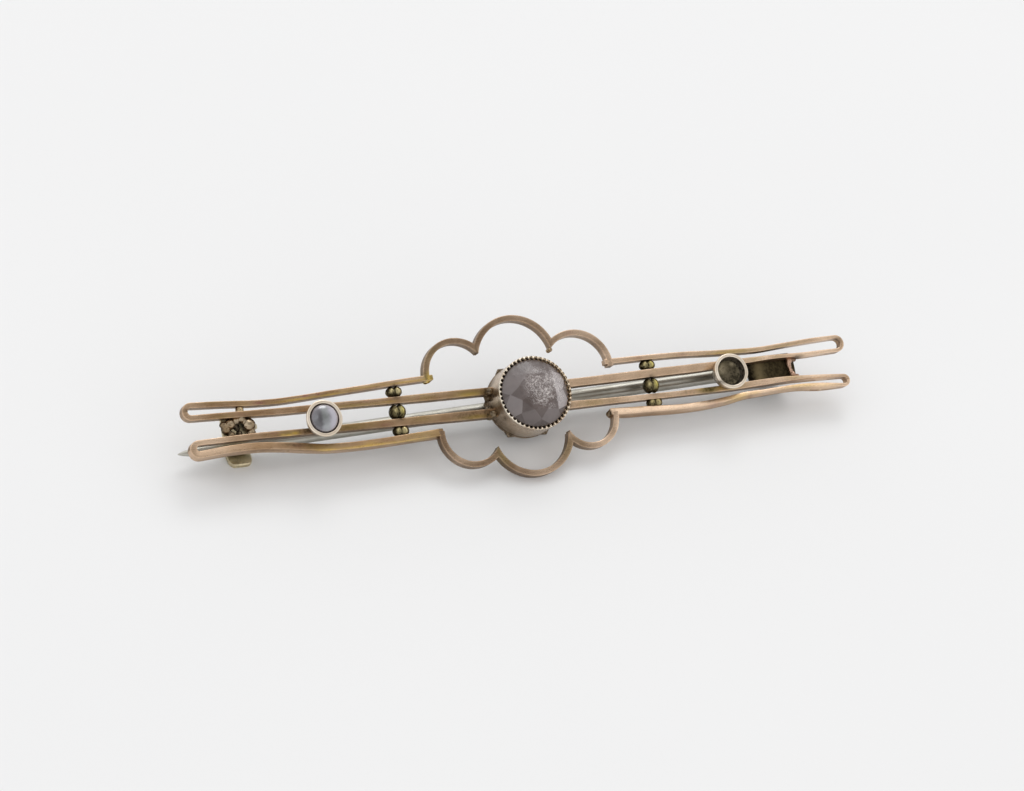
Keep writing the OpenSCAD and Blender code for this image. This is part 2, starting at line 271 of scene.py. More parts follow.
def divided(bm, outline, apart):
    """Cuts a plate's faces across X and Y, so that marks can lie on them."""
    for k, across in enumerate((Vector((1, 0, 0)), Vector((0, 1, 0)))):
        places = [point[k] for point in outline]
        for at in np.arange(min(places) + apart, max(places), apart):
            bmesh.ops.bisect_plane(bm, geom=bm.verts[:] + bm.edges[:] + bm.faces[:],
                                   plane_co=across * at, plane_no=across)


def bevelled_solid(build, outline, low, high, bevel=0.05, axis="Z", cuts=None):
    """A plate with rounded edges: an outline carried from low to high along Z or Y."""
    bm = bmesh.new()
    lower = [bm.verts.new((x, y, low)) for x, y in outline]
    upper = [bm.verts.new((x, y, high)) for x, y in outline]
    n = len(outline)
    bm.faces.new(upper)
    bm.faces.new(lower[::-1])
    for i in range(n):
        bm.faces.new([lower[i], lower[(i + 1) % n], upper[(i + 1) % n], upper[i]])
    bmesh.ops.recalc_face_normals(bm, faces=bm.faces)
    sharp = [e for e in bm.edges if e.calc_face_angle(0) > SHARP_TURN]
    bmesh.ops.bevel(bm, geom=sharp, offset=bevel, segments=2, affect="EDGES", profile=0.6)
    if cuts:
        divided(bm, outline, cuts)
    bmesh.ops.triangulate(bm, faces=[f for f in bm.faces if len(f.verts) > 4])
    bm.verts.index_update()
    turn = {"Z": Matrix.Identity(3), "Y": Matrix.Rotation(math.pi / 2, 3, "X")}[axis]
    build.add([turn @ v.co for v in bm.verts], [[v.index for v in f.verts] for f in bm.faces])
    bm.free()


def lump_mesh(lumps):
    """Balls that overlap, from (x, y, z, radius)."""
    bm = bmesh.new()
    for x, y, z, r in lumps:
        bmesh.ops.create_icosphere(bm, subdivisions=3, radius=r,
                                   matrix=Matrix.Translation((x, y, z)))
    mesh = bpy.data.meshes.new("lumps")
    bm.to_mesh(mesh)
    bm.free()
    return mesh


def melted(build, lumps, rough, seed, grain=0.05):
    """Solder run together from round lumps (x, y, z, radius), a little rough."""
    holder = bpy.data.objects.new("lumps", lump_mesh(lumps))
    bpy.context.scene.collection.objects.link(holder)
    remesh = holder.modifiers.new("melt", "REMESH")
    remesh.mode = "VOXEL"
    remesh.voxel_size = grain
    soften = holder.modifiers.new("soften", "SMOOTH")
    soften.factor, soften.iterations = 0.6, 6
    bpy.context.view_layer.update()
    solid = holder.evaluated_get(bpy.context.evaluated_depsgraph_get()).to_mesh()
    points = []
    for v in solid.vertices:
        lift = noise.fractal(v.co * 3.2 + Vector((seed, 0, 0)), 0.8, 2.1, 4) * rough
        points.append(v.co + v.normal * lift)
    build.add(points, [list(p.vertices) for p in solid.polygons])
    bpy.data.objects.remove(holder)


# Where the marks are

# Soldered joints, dark in their corners: columns are x, y, reach along, reach across and strength
JOINTS = [(-10.55, 1.25, 0.4, 0.3, 0.9), (-10.55, -0.45, 0.4, 0.3, 0.9),
          (-10.55, 2.1, 0.35, 0.25, 0.8), (10.55, 0.55, 0.4, 0.25, 0.8),
          (10.55, -0.7, 0.4, 0.25, 0.8), (-3.3, 0.82, 0.5, 0.5, 1.0), (-3.4, -0.88, 0.7, 0.6, 1.0),
          (3.2, 0.75, 0.35, 0.4, 0.8), (3.2, -0.88, 0.35, 0.4, 0.8), (-3.45, 3.8, 0.12, 0.5, 0.9),
          (-3.08, -3.2, 0.3, 0.4, 1.0), (-22.6, 0.9, 0.7, 0.5, 0.5), (23.4, 0.8, 0.5, 0.2, 1.0),
          (6.55, -1.9, 0.2, 0.35, 1.0), (-7.4, -1.6, 0.3, 0.2, 0.8), (-5.6, -0.5, 1.2, 0.14, 0.5),
          (15.6, -0.72, 1.2, 0.2, 0.9)]
# Olive-yellow solder, in the same columns; the last three are painted highlights on the right
# lobes of the spacer balls
OLIVE = [(-7.6, 2.35, 0.6, 0.5, 1.0), (-3.1, -3.3, 0.4, 0.5, 0.9), (-3.45, 3.8, 0.5, 0.4, 0.3),
         (-6.6, 4.0, 1.4, 0.8, 0.35), (-2.9, -4.3, 0.5, 0.8, 0.5), (2.2, -4.2, 1.0, 0.8, 0.35),
         (-10.3, 0.1, 0.2, 0.5, 0.8), (10.85, -0.06, 0.25, 0.5, 1.0), (10.85, 1.57, 0.2, 0.4, 0.9)]
# Clean metal that looks peach, in the same columns
PEACH = [(5.2, 4.7, 2.2, 1.0, 0.55), (7.0, 2.6, 0.8, 0.8, 0.7), (5.8, -3.9, 1.4, 0.7, 0.95),
         (7.0, -3.0, 0.5, 1.2, 0.95), (0.6, 6.4, 1.6, 0.5, 0.3), (-6.5, -4.2, 1.3, 0.6, 0.4),
         (0.4, -5.8, 1.8, 0.5, 0.3), (2.75, -3.1, 0.3, 0.4, 0.5)]
# Bare yellow gold and reddish tarnish away from the bars, in the same columns
BARE = [(-7.7, 2.3, 0.15, 0.5, 0.7), (-22.6, 1.7, 0.5, 0.4, 0.2)]
ROSY = [(4.4, 4.7, 0.4, 0.3, 0.25)]

BARS = {"upper outer left": UPPER_OUTER_LEFT, "upper inner left": UPPER_INNER_LEFT,
        "lower inner left": LOWER_INNER_LEFT, "lower outer left": LOWER_OUTER_LEFT,
        "upper inner right": UPPER_INNER_RIGHT, "upper outer right": UPPER_OUTER_RIGHT,
        "lower inner right": LOWER_INNER_RIGHT, "lower outer right": LOWER_OUTER_RIGHT}
# How dark the walls of each bar are painted, for their shade and tarnish together
WALL_SHADE_AND_TARNISH = {"upper outer left": 0.5, "upper inner left": 0.42, "lower inner left": 0.6,
             "lower outer left": 0.05, "upper inner right": 0.75, "upper outer right": 0.4,
             "lower inner right": 0.5, "lower outer right": 0.16}
# Where the walls at the hinge end are brightest
BRIGHT_END_X = 24.5
# Painted light: how far the whole face of these bars is brightened toward the clean colour, as
# light falls on the right
FACE_PAINTED_LIGHT = {"upper inner right": 0.52, "upper outer right": 0.55, "lower inner right": 0.45,
              "lower outer right": 0.9}
# Marks on the bars: columns are x, place across, reach along, reach across and strength. Across
# runs from 1 to -1 over the face, then on down the lower wall, which ends near -4.
BAR_MARKS = {
    # Peach: clean metal, and painted highlights along the middle of the lower outer right bar and
    # at the hinge ends
    "peach": {
        "upper outer left": [(-27, 0, 0.8, 3, 0.3), (-26.8, -2, 0.5, 2, 0.5),
            (-9, 0.2, 2.0, 0.8, 0.65), (-12.8, 0.6, 1.6, 0.6, 0.4), (-18.5, 0, 1.6, 0.3, 0.3)],
        "upper inner left": [(-27, 0, 1.2, 3, 0.3), (-8.2, 0.6, 1.8, 0.6, 0.35),
            (-14, 0.8, 4, 0.3, 0.25)],
        "lower inner left": [(-25.8, 0, 2.4, 2, 0.85), (-21.4, 0.7, 1.4, 0.3, 0.3)],
        "lower outer left": [(-26, 0, 2.6, 3, 0.6), (-19, -2.5, 7, 1.2, 0.45),
            (-9.5, -1, 1, 1, 0.4)],
        "upper inner right": [(20, 0, 2.4, 1.6, 0.95), (25, 0, 3.2, 3, 1.0),
            (10, 0.8, 7, 0.4, 0.7)],
        "upper outer right": [(10.5, 0.8, 4.5, 0.6, 1.0), (15, 0.8, 3, 0.5, 0.9),
            (22, 0.6, 4, 0.6, 0.85), (26, 0, 2.2, 3, 0.9)],
        "lower inner right": [(9, 0, 2.4, 1.6, 0.85), (12.2, 0.2, 1.2, 1.5, 0.75),
            (20.5, 0, 2.4, 1.6, 0.85), (25, 0, 2.4, 2, 1.0), (24.8, -1.6, 2.4, 1.2, 0.9)],
        "lower outer right": [(10, 0, 5, 0.55, 1.0), (14.5, -0.4, 2.6, 0.9, 1.0),
            (20, 0, 4, 2, 1.0), (25, 0, 2.6, 2, 1.0), (16.5, -2.4, 4, 1, 0.6),
            (20, -1.3, 6, 1.1, 0.95)]},
    "olive": {
        "upper outer left": [(-17, -0.8, 3, 0.7, 0.5), (-24.5, 0.8, 3, 0.5, 0.25)],
        "upper inner left": [(-14, -0.6, 2.6, 0.6, 0.5), (-8.5, 0, 1.2, 1.0, 0.4),
            (-4.6, -0.3, 1.4, 1, 0.7), (-24.2, -0.5, 0.8, 0.8, 0.3)],
        "lower inner left": [(-19.6, 0, 1.2, 1.2, 0.4), (-14.6, 0, 2.0, 1.2, 0.4),
            (-4.6, -0.6, 1.4, 0.6, 0.6), (-8.8, 0.2, 1.0, 1, 0.3)],
        "lower outer left": [(-17.2, 0.2, 1.8, 0.7, 0.4), (-9, 0, 1.6, 1.6, 0.35)],
        "upper outer right": [(18, -0.4, 2.0, 1.0, 0.6), (22, -0.5, 1.6, 0.8, 0.4),
            (12, -0.9, 2, 0.4, 0.25)],
        "upper inner right": [(19.6, 0.2, 0.7, 1, 0.45), (21.6, -0.2, 0.5, 1, 0.3)],
        "lower inner right": [(15.2, 0, 1.0, 1.6, 1.0), (17.2, 0.2, 1.0, 1.4, 0.7),
            (5.4, -0.2, 1.4, 1.2, 0.35), (22.6, 0.6, 0.7, 0.6, 0.4)],
        "lower outer right": [(17.2, 0.2, 1.0, 1, 0.2)]},
    "bare": {
        "upper outer left": [(-9.5, -0.3, 1.8, 0.35, 0.7), (-13, 0.1, 2, 0.3, 0.5),
            (-18.4, -0.4, 1.4, 0.35, 0.65), (-15.5, -0.6, 1, 0.3, 0.5)],
        "upper inner left": [(-11.2, -0.3, 0.6, 0.25, 0.35), (-4.8, -0.6, 0.8, 0.4, 0.35)],
        "lower inner left": [(-19.0, -0.3, 0.3, 0.5, 1.0), (-19.5, -0.7, 0.35, 0.35, 0.9),
            (-20.0, -0.5, 0.2, 0.3, 0.7), (-4.4, -0.5, 0.7, 0.4, 0.3)],
        "lower outer left": [(-13.4, -0.5, 2.4, 0.25, 0.9), (-10.4, -0.7, 2, 0.25, 0.7),
            (-16.6, -0.6, 0.9, 0.25, 0.8), (-13.3, 0.0, 0.7, 0.5, 0.3)],
        "upper outer right": [(18.0, 0.2, 1.2, 0.5, 0.3), (16.8, -0.4, 0.8, 0.4, 0.4)],
        "lower inner right": [(16.2, 0.3, 0.4, 0.6, 0.7), (17.4, 0.5, 0.5, 0.5, 0.5),
            (14.4, 0.4, 0.3, 0.4, 0.5)],
        "lower outer right": [(17.8, -0.1, 0.9, 1.0, 0.55), (23.2, 0.4, 1.8, 0.6, 0.45),
            (19.0, 0.2, 0.6, 0.5, 0.4), (25.2, 0.2, 1.2, 0.6, 0.25)]},
    "rosy": {
        "upper outer left": [(-21.4, -0.2, 0.4, 0.5, 0.8), (-17.7, 0.3, 0.28, 0.6, 0.9),
            (-16.7, 0.2, 0.2, 0.5, 0.7)],
        "upper inner left": [(-22.9, 0, 0.5, 0.8, 0.3), (-13, 0.4, 0.4, 0.5, 0.3),
            (-8.9, 0, 0.25, 0.5, 0.35)],
        "lower inner left": [(-20.6, 0.3, 0.4, 0.7, 0.4), (-11.8, -0.3, 0.5, 0.5, 0.4),
            (-20.5, -1.2, 0.3, 0.3, 0.6)],
        "lower outer left": [(-18.9, 0.4, 0.5, 0.5, 0.4), (-20.5, -1.3, 0.4, 0.3, 0.7),
            (-19.4, -1.4, 0.5, 0.3, 0.6), (-8.6, -1.2, 1.2, 0.3, 0.4)],
        "upper outer right": [(13.5, -0.4, 0.4, 0.5, 0.35), (9.8, 0.2, 0.3, 0.6, 0.3)],
        "lower inner right": [(14.0, 0.4, 0.3, 0.5, 0.3), (20.2, 0.2, 0.3, 0.5, 0.25)],
        "lower outer right": [(15.4, -0.5, 0.5, 0.6, 0.4), (18.7, -0.4, 0.3, 0.5, 0.5),
            (8.8, -1.2, 0.8, 0.3, 0.4)]},
    # Dark patches of dirt on the faces, dark lines along the faces' edges, and painted shade low
    # on the walls and inside the upper bend at the hinge end
    "soil_and_shade": {
        "upper outer left": [(-22.5, -1.1, 3, 0.14, 0.5), (-26.9, -1.2, 0.5, 0.3, 0.8),
            (-14, -1.0, 3, 0.25, 0.45)],
        "upper inner left": [(-5, -1.0, 2.6, 0.15, 0.4), (-14.5, 1.0, 3, 0.12, 0.4),
            (-4, 0.5, 1.4, 0.8, 0.35)],
        "lower inner left": [(-18, 0, 1.2, 1.6, 0.8), (-15.2, -0.4, 2.0, 1.2, 0.55),
            (-14, -0.9, 3, 0.4, 0.6), (-5, 0, 1.9, 1.4, 0.7), (-8.6, -0.9, 2, 0.4, 0.45),
            (-23.5, -1.1, 2.4, 0.25, 0.5)],
        "lower outer left": [(-19, 0.5, 1.5, 0.7, 0.85), (-16.2, 0.6, 1.6, 0.5, 0.6),
            (-12.8, 0.9, 2.2, 0.3, 0.5), (-22, 0.9, 1.6, 0.3, 0.4), (-25.5, 1.1, 1, 0.3, 0.5),
            (-18, -3.9, 6, 0.5, 0.3)],
        "upper inner right": [(8, -1.15, 6, 0.2, 0.4)],
        "upper outer right": [(27.1, -2.4, 0.5, 1.6, 1.0), (13, -1.05, 5, 0.2, 0.35)],
        "lower inner right": [(15.1, 0, 0.75, 1.6, 0.9), (6.6, 0, 0.06, 1, 0.5),
            (13.2, 0.2, 0.07, 1, 0.5)],
        "lower outer right": [(9.5, -1.1, 3.4, 0.45, 0.55), (9, 0.95, 4, 0.3, 0.4),
            (15.0, 0.8, 1.2, 0.5, 0.9), (7.0, 0, 0.06, 1.2, 0.6), (24.5, -1.2, 2, 0.4, 0.45),
            (20.5, -1.3, 1.2, 0.3, 0.3), (12.8, 0.9, 1.1, 0.35, 0.6)]}}

SPOTS = {"olive": OLIVE, "peach": PEACH, "bare": BARE, "rosy": ROSY, "soil_and_shade": JOINTS}
# A mark fades out before this, in squared reaches from its middle
MARK_END = 9
# Below these heights a point of a bar counts as on its wall, and its wall takes painted shade and
# tarnish
WALL_FROM = -0.06
DULL_FROM = -0.05
# Above this height a point of a bar takes the tone of its face
FACE_FROM = -0.1
# How far past a bar's edge, in halves of its width, a point still counts as on it
PAST_EDGE = 1.2


def mark_at(x, y, spots):
    """How far a point lies in the nearest of the marks, 0 to 1."""
    best = 0.0
    for spot_x, spot_y, along, across, strength in spots:
        far = ((x - spot_x) / along) ** 2 + ((y - spot_y) / across) ** 2
        if far < MARK_END:
            best = max(best, math.exp(-far) * strength)
    return best


def bar_lines():
    """Each bar's middle line and width, ready to be looked up by x."""
    lines = {}
    for name, rows in BARS.items():
        table = np.array([row[:3] for row in rows])
        lines[name] = table[np.argsort(table[:, 0])].T
    return lines


def place_on_bar(p, lines):
    """The bar that a point of the loops lies on, and its place across face and wall."""
    best = None
    for name, (xs, ys, widths) in lines.items():
        if (p[0] < 0) != ("left" in name):
            continue
        half = np.interp(p[0], xs, widths) / 2
        across = (p[1] - np.interp(p[0], xs, ys)) / half
        if best is None or abs(across) * half < best[2]:
            best = (name, across, abs(across) * half, half)
    name, across, _, half = best
    across = max(-PAST_EDGE, min(PAST_EDGE, across))
    if abs(across) > 0.8 and p[2] < WALL_FROM:
        across += math.copysign(-p[2] / half, across)
    return name, across


def wall_shade_and_tarnish(name, p):
    """How dark painted shade and tarnish make the wall of a bar at a point below its face."""
    bright_end = math.exp(-((p[0] - BRIGHT_END_X) / 2.4) ** 2)
    return WALL_SHADE_AND_TARNISH[name] * min(1.0, -p[2] / 0.2) * (1 - bright_end)


def bar_masks(points):
    """Masks of the marks along the bars, of the painted light on the right bars' faces, and of the
    painted shade and tarnish on the walls.
    """
    lines = bar_lines()
    masks = {kind: [] for kind in BAR_MARKS}
    for p in points:
        name, across = place_on_bar(p, lines)
        for kind, bars in BAR_MARKS.items():
            value = mark_at(p[0], across, bars.get(name, ()))
            # Painted shade and tarnish on the walls
            if kind == "soil_and_shade" and p[2] < DULL_FROM:
                value = max(value, wall_shade_and_tarnish(name, p))
            # Painted light over the whole face of the right bars
            if kind == "peach" and p[2] > FACE_FROM:
                value = max(value, FACE_PAINTED_LIGHT.get(name, 0.0))
            masks[kind].append(value)
    return masks


def point_masks(build, soil_and_shade, on_bars):
    """Every mask that the golds read, a value for each point of the piece."""
    masks = {kind: [mark_at(p[0], p[1], spots) for p in build.points]
             for kind, spots in SPOTS.items()}
    if on_bars:
        for kind, values in bar_masks(build.points).items():
            masks[kind] = np.maximum(masks[kind], values)
    if soil_and_shade:
        masks["soil_and_shade"] = [max(value, soil_and_shade(p)) for value, p in zip(masks["soil_and_shade"], build.points)]
    masks["bright_edge"] = build.edge
    return masks


def finished(name, build, material, nodes=(), body="brooch", sharp=38, soil_and_shade=None,
             flat=False, on_bars=False):
    """Makes the piece, sets it down on the table, hangs it on its body and hides the model's parts
    that it stands for.

    Edges sharper than sharp degrees stay sharp, and a flat piece is all facets.
    """
    mesh = bpy.data.meshes.new(name)
    mesh.from_pydata([LIE @ Vector(p) for p in build.points], [], build.faces)
    for mask, values in point_masks(build, soil_and_shade, on_bars).items():
        attribute = mesh.attributes.new(mask, "FLOAT", "POINT")
        attribute.data.foreach_set("value", np.array(values, np.float32))
    mesh.materials.append(material)
    mesh.polygons.foreach_set("use_smooth", [not flat] * len(mesh.polygons))
    mesh.update()
    if not flat:
        mesh.set_sharp_from_angle(angle=math.radians(sharp))
    piece = bpy.data.objects.new(name, mesh)
    bpy.context.scene.collection.objects.link(piece)
    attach(piece, body)
    if nodes:
        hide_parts(*nodes)
    return piece


# Shader tools

FLOAT, COLOUR = "NodeSocketFloat", "NodeSocketColor"


def node_group(name, inputs, outputs):
    """An empty shader group with its named sockets."""
    group = bpy.data.node_groups.new(name, "ShaderNodeTree")
    for label, kind, value in inputs:
        socket = group.interface.new_socket(label, in_out="INPUT", socket_type=kind)
        socket.default_value = value
    for label, kind in outputs:
        group.interface.new_socket(label, in_out="OUTPUT", socket_type=kind)
    return group, group.nodes.new("NodeGroupInput"), group.nodes.new("NodeGroupOutput")


def math_node(tree, kind, a, b=None, clamp=True):
    """A math node fed by sockets or numbers."""
    node = tree.nodes.new("ShaderNodeMath")
    node.operation, node.use_clamp = kind, clamp
    for k, value in enumerate((a, b)):
        if value is None:
            continue
        if isinstance(value, (int, float)):
            node.inputs[k].default_value = value
        else:
            tree.links.new(value, node.inputs[k])
    return node.outputs[0]


def times(tree, a, b):
    """Product of two sockets or numbers, from 0 to 1."""
    return math_node(tree, "MULTIPLY", a, b)


def plus(tree, a, b, clamp=True):
    """Sum of two sockets or numbers, from 0 to 1 unless it isn't clamped."""
    return math_node(tree, "ADD", a, b, clamp)


def scaled(tree, value, gain, start):
    """A value times a gain, on top of a start."""
    return plus(tree, times(tree, value, gain), start)


def mix_colour(tree, factor, a, b):
    """A colour mix fed by sockets or colours."""
    node = tree.nodes.new("ShaderNodeMix")
    node.data_type, node.blend_type, node.clamp_factor = "RGBA", "MIX", True
    for k, value in ((0, factor), (6, a), (7, b)):
        if isinstance(value, (tuple, list)):
            node.inputs[k].default_value = (*value, 1.0)
        else:
            tree.links.new(value, node.inputs[k])
    return node.outputs[2]


def spread(tree, value, low, high, start=0.0, end=1.0, kind="SMOOTHSTEP"):
    """Carries a value that goes from low to high over to start to end."""
    node = tree.nodes.new("ShaderNodeMapRange")
    node.interpolation_type = kind
    limits = {"From Min": low, "From Max": high, "To Min": start, "To Max": end}
    for label, number in limits.items():
        node.inputs[label].default_value = number
    tree.links.new(value, node.inputs["Value"])
    return node.outputs["Result"]


def noise_at(tree, vector, scale, detail=3.0, rough=0.55):
    """Noise with so many lumps in a millimetre."""
    node = tree.nodes.new("ShaderNodeTexNoise")
    node.inputs["Scale"].default_value = scale
    node.inputs["Detail"].default_value = detail
    node.inputs["Roughness"].default_value = rough
    tree.links.new(vector, node.inputs["Vector"])
    return node.outputs["Fac"]


def in_millimetres(tree, stretch=(1, 1, 1)):
    """The point on the piece, in millimetres."""
    place = tree.nodes.new("ShaderNodeTexCoord")
    scale = tree.nodes.new("ShaderNodeMapping")
    scale.inputs["Scale"].default_value = [1000 * s for s in stretch]
    tree.links.new(place.outputs["Object"], scale.inputs["Vector"])
    return scale.outputs["Vector"]


def mask_of(tree, name):
    """One of the masks that the mesh carries."""
    node = tree.nodes.new("ShaderNodeAttribute")
    node.attribute_name = name
    return node.outputs["Fac"]


def new_material(name):
    """A node material and its surface shader."""
    material = bpy.data.materials.new(name)
    material.use_nodes = True
    return material, material.node_tree, material.node_tree.nodes["Principled BSDF"]


def bump_to(tree, shader, height, distance, strength=1.0):
    """Feeds a height to the shader as relief so many millimetres deep."""
    bump = tree.nodes.new("ShaderNodeBump")
    bump.inputs["Distance"].default_value = distance * MM
    bump.inputs["Strength"].default_value = strength
    tree.links.new(height, bump.inputs["Height"])
    tree.links.new(bump.outputs["Normal"], shader.inputs["Normal"])


# Golds

ROSY_TARNISH = (0.34, 0.14, 0.13)
BARE_GOLD = (0.85, 0.57, 0.12)
# Scratches run along the bars: how the noise is stretched on X, Y and Z
SCRATCH_STRETCH = (0.35, 3.2, 3.2)
GOLD_INPUTS = [("Metal", COLOUR, (0.5, 0.4, 0.3, 1)), ("Clean", COLOUR, (0.8, 0.7, 0.6, 1)),
               ("Olive", COLOUR, (0.4, 0.35, 0.1, 1)), ("Soil and shade", COLOUR, (0.05, 0.04, 0.03, 1)),
               ("Cloud", FLOAT, 0.5), ("Grime", FLOAT, 0.4), ("Gloss", FLOAT, 0.3),
               ("Grain", FLOAT, 0.1)]
GOLD_OUTPUTS = [("Colour", COLOUR), ("Roughness", FLOAT), ("Height", FLOAT)]


def worn_gold_group():
    """Colour, roughness and height of old gold: clouds, stains, bright edges, dirt and painted
    shade, scratches.
    """
    group, entry, result = node_group("worn gold", GOLD_INPUTS, GOLD_OUTPUTS)
    given = entry.outputs
    here = in_millimetres(group)
    clouds = spread(group, noise_at(group, here, 0.55, 4), 0.35, 0.68)
    flecks = spread(group, noise_at(group, here, 4.5, 4, 0.65), 0.45, 0.72)
    pits = spread(group, noise_at(group, here, 9.0, 2), 0.66, 0.8)
    streaks = noise_at(group, in_millimetres(group, SCRATCH_STRETCH), 3.4, 4, 0.6)
    ripple = spread(group, streaks, 0.35, 0.7)
    mottle = scaled(group, flecks, 0.3, 0.8)
    tints = [(given["Cloud"], clouds, given["Clean"]),
             (given["Grain"], ripple, given["Clean"]),
             # The peach mask carries clean metal and painted highlights
             (mask_of(group, "peach"), scaled(group, clouds, 0.12, 0.88), given["Clean"]),
             (mask_of(group, "olive"), mottle, given["Olive"]),
             (mask_of(group, "rosy"), mottle, ROSY_TARNISH),
             (mask_of(group, "bare"), mottle, BARE_GOLD),
             (mask_of(group, "bright_edge"), scaled(group, clouds, 0.25, 0.15), given["Clean"])]
    metal = given["Metal"]
    for mask, strength, tint in tints:
        metal = mix_colour(group, times(group, mask, strength), metal, tint)
    # Dirt and painted shade together darken the colour toward the dark colour
    corners = times(group, mask_of(group, "soil_and_shade"), plus(group, flecks, 0.72))
    specks = math_node(group, "MAXIMUM", times(group, flecks, given["Grime"]),
                       times(group, pits, 0.55))
    dirt_and_shade = math_node(group, "MAXIMUM", times(group, corners, 0.95), specks)
    rough = plus(group, given["Gloss"], times(group, dirt_and_shade, 0.35))
    grooves = math_node(group, "SUBTRACT", times(group, streaks, 0.6), times(group, pits, 0.5),
                        clamp=False)
    ends = {"Colour": mix_colour(group, dirt_and_shade, metal, given["Soil and shade"]),
            "Roughness": plus(group, rough, times(group, ripple, 0.08)),
            "Height": plus(group, grooves, times(group, flecks, 0.12), clamp=False)}
    for label, socket in ends.items():
        group.links.new(socket, result.inputs[label])
    return group


WORN_GOLD = worn_gold_group()


def gold(name, metal, clean, olive, soil_and_shade, cloud=0.5, grime=0.3, gloss=0.2, relief=0.02,
         grain=0.05):
    """Old gold with its own colours, from the worn gold group."""
    material, tree, shader = new_material(name)
    worn = tree.nodes.new("ShaderNodeGroup")
    worn.node_tree = WORN_GOLD
    for label, value in (("Metal", metal), ("Clean", clean), ("Olive", olive), ("Soil and shade", soil_and_shade)):
        worn.inputs[label].default_value = (*value, 1)
    for label, value in (("Cloud", cloud), ("Grime", grime), ("Gloss", gloss), ("Grain", grain)):
        worn.inputs[label].default_value = value
    tree.links.new(worn.outputs["Colour"], shader.inputs["Base Color"])
    tree.links.new(worn.outputs["Roughness"], shader.inputs["Roughness"])
    bump_to(tree, shader, worn.outputs["Height"], relief)
    shader.inputs["Metallic"].default_value = 1.0
    return material


# Each gold's metal, its clean and its olive parts, and the dark colour of its dirt and painted
# shade
FRAME_GOLD = gold("rose gold, worn", (0.345, 0.21, 0.108), (0.92, 0.69, 0.5), (0.36, 0.28, 0.07),
                  (0.04, 0.028, 0.015), cloud=0.18, grime=0.2, gloss=0.26, relief=0.006)
SCALLOP_GOLD = gold("scallop gold, browner", (0.27, 0.18, 0.112), (0.9, 0.68, 0.5),
                    (0.3, 0.24, 0.08), (0.04, 0.028, 0.015), cloud=0.22, grime=0.15, gloss=0.26,
                    relief=0.003, grain=0.0)
CUP_GOLD = gold("cup gold, pale and smooth", (0.66, 0.55, 0.42), (0.98, 0.9, 0.79),
                (0.5, 0.42, 0.22), (0.035, 0.027, 0.018), cloud=0.3, grime=0.04, gloss=0.3,
                relief=0.002)
COLLET_GOLD = gold("pale gold, worn", (0.5, 0.365, 0.24), (0.95, 0.86, 0.72), (0.6, 0.48, 0.25),
                   (0.04, 0.028, 0.016), cloud=0.25, grime=0.15, relief=0.004)
# The balls' darkness is painted shade, with painted highlights on their lobes
BALL_GOLD = gold("balls, painted shade and highlights", (0.46, 0.38, 0.18), (0.8, 0.7, 0.42),
                 (0.6, 0.52, 0.14), (0.012, 0.009, 0.005), cloud=0.4, gloss=0.1, relief=0.01)
SOLDER = gold("solder, rough", (0.3, 0.21, 0.12), (0.9, 0.78, 0.6), (0.45, 0.36, 0.1),
              (0.014, 0.01, 0.006), cloud=0.4, grime=0.5, gloss=0.16, relief=0.015)
BRIDGE_GOLD = gold("solder bridge, pink brown", (0.3, 0.18, 0.12), (0.7, 0.48, 0.36),
                   (0.4, 0.34, 0.14), (0.02, 0.014, 0.01), grime=0.4, gloss=0.25)
CATCH_GOLD = gold("catch gold, olive", (0.5, 0.42, 0.26), (0.84, 0.74, 0.52), (0.5, 0.42, 0.14),
                  (0.06, 0.045, 0.025), cloud=0.6, gloss=0.34)
CUP_DIRT = gold("old cement in the cup", (0.17, 0.14, 0.085), (0.5, 0.42, 0.3),
                (0.12, 0.11, 0.05), (0.025, 0.021, 0.013), grime=0.4)
# Gold painted very dark for the shade behind the bars, round the hinge
SHADED_HINGE_GOLD = gold("hinge gold, painted dark for shade", (0.13, 0.1, 0.05), (0.3, 0.24, 0.14), (0.36, 0.3, 0.13),
                  (0.008, 0.006, 0.004), cloud=0.3, gloss=0.34, relief=0.006)


# Steel, stone and pearl

# Drawn lines along the pin: how the noise is stretched on X, Y and Z
DRAWN_STRETCH = (0.08, 5, 5)
STEEL_LIGHT, STEEL_DARK, STEEL_DULL = (0.56, 0.55, 0.5), (0.35, 0.335, 0.29), (0.24, 0.22, 0.17)


def steel():
    """Drawn steel with fine lines along the pin."""
    material, tree, shader = new_material("pin steel")
    lines = noise_at(tree, in_millimetres(tree, DRAWN_STRETCH), 3.0, 4, 0.6)
    dull = spread(tree, noise_at(tree, in_millimetres(tree), 0.7, 4), 0.4, 0.7)
    colour = mix_colour(tree, lines, STEEL_LIGHT, STEEL_DARK)
    colour = mix_colour(tree, times(tree, dull, 0.4), colour, STEEL_DULL)
    tree.links.new(colour, shader.inputs["Base Color"])
    tree.links.new(scaled(tree, lines, 0.12, 0.32), shader.inputs["Roughness"])
    bump_to(tree, shader, lines, 0.006)
    shader.inputs["Metallic"].default_value = 1.0
    return material


# Middle of the abraded patch on the stone's table, and its whole and its furthest reach
SCRATCHED = (0.8, 0.35)
SCRATCHED_REACH = (0.9, 2.1)
# The stone darkens between these distances from the patch
DARKENS = (1.4, 3.6)
# Colours of the stone
STONE_DEEP = (0.08, 0.053, 0.045)
STONE_PALE = (0.135, 0.098, 0.088)
STONE_RIM = (0.045, 0.03, 0.026)
STONE_GLINT = (0.5, 0.45, 0.45)
STONE_WORN = (0.82, 0.76, 0.74)


def distance_from(tree, here, point):
    """How far a point of the piece is from a place of the brooch, in millimetres."""
    node = tree.nodes.new("ShaderNodeVectorMath")
    node.operation = "DISTANCE"
    tree.links.new(here, node.inputs[0])
    node.inputs[1].default_value = LIE @ Vector(point) / MM
    return node.outputs["Value"]


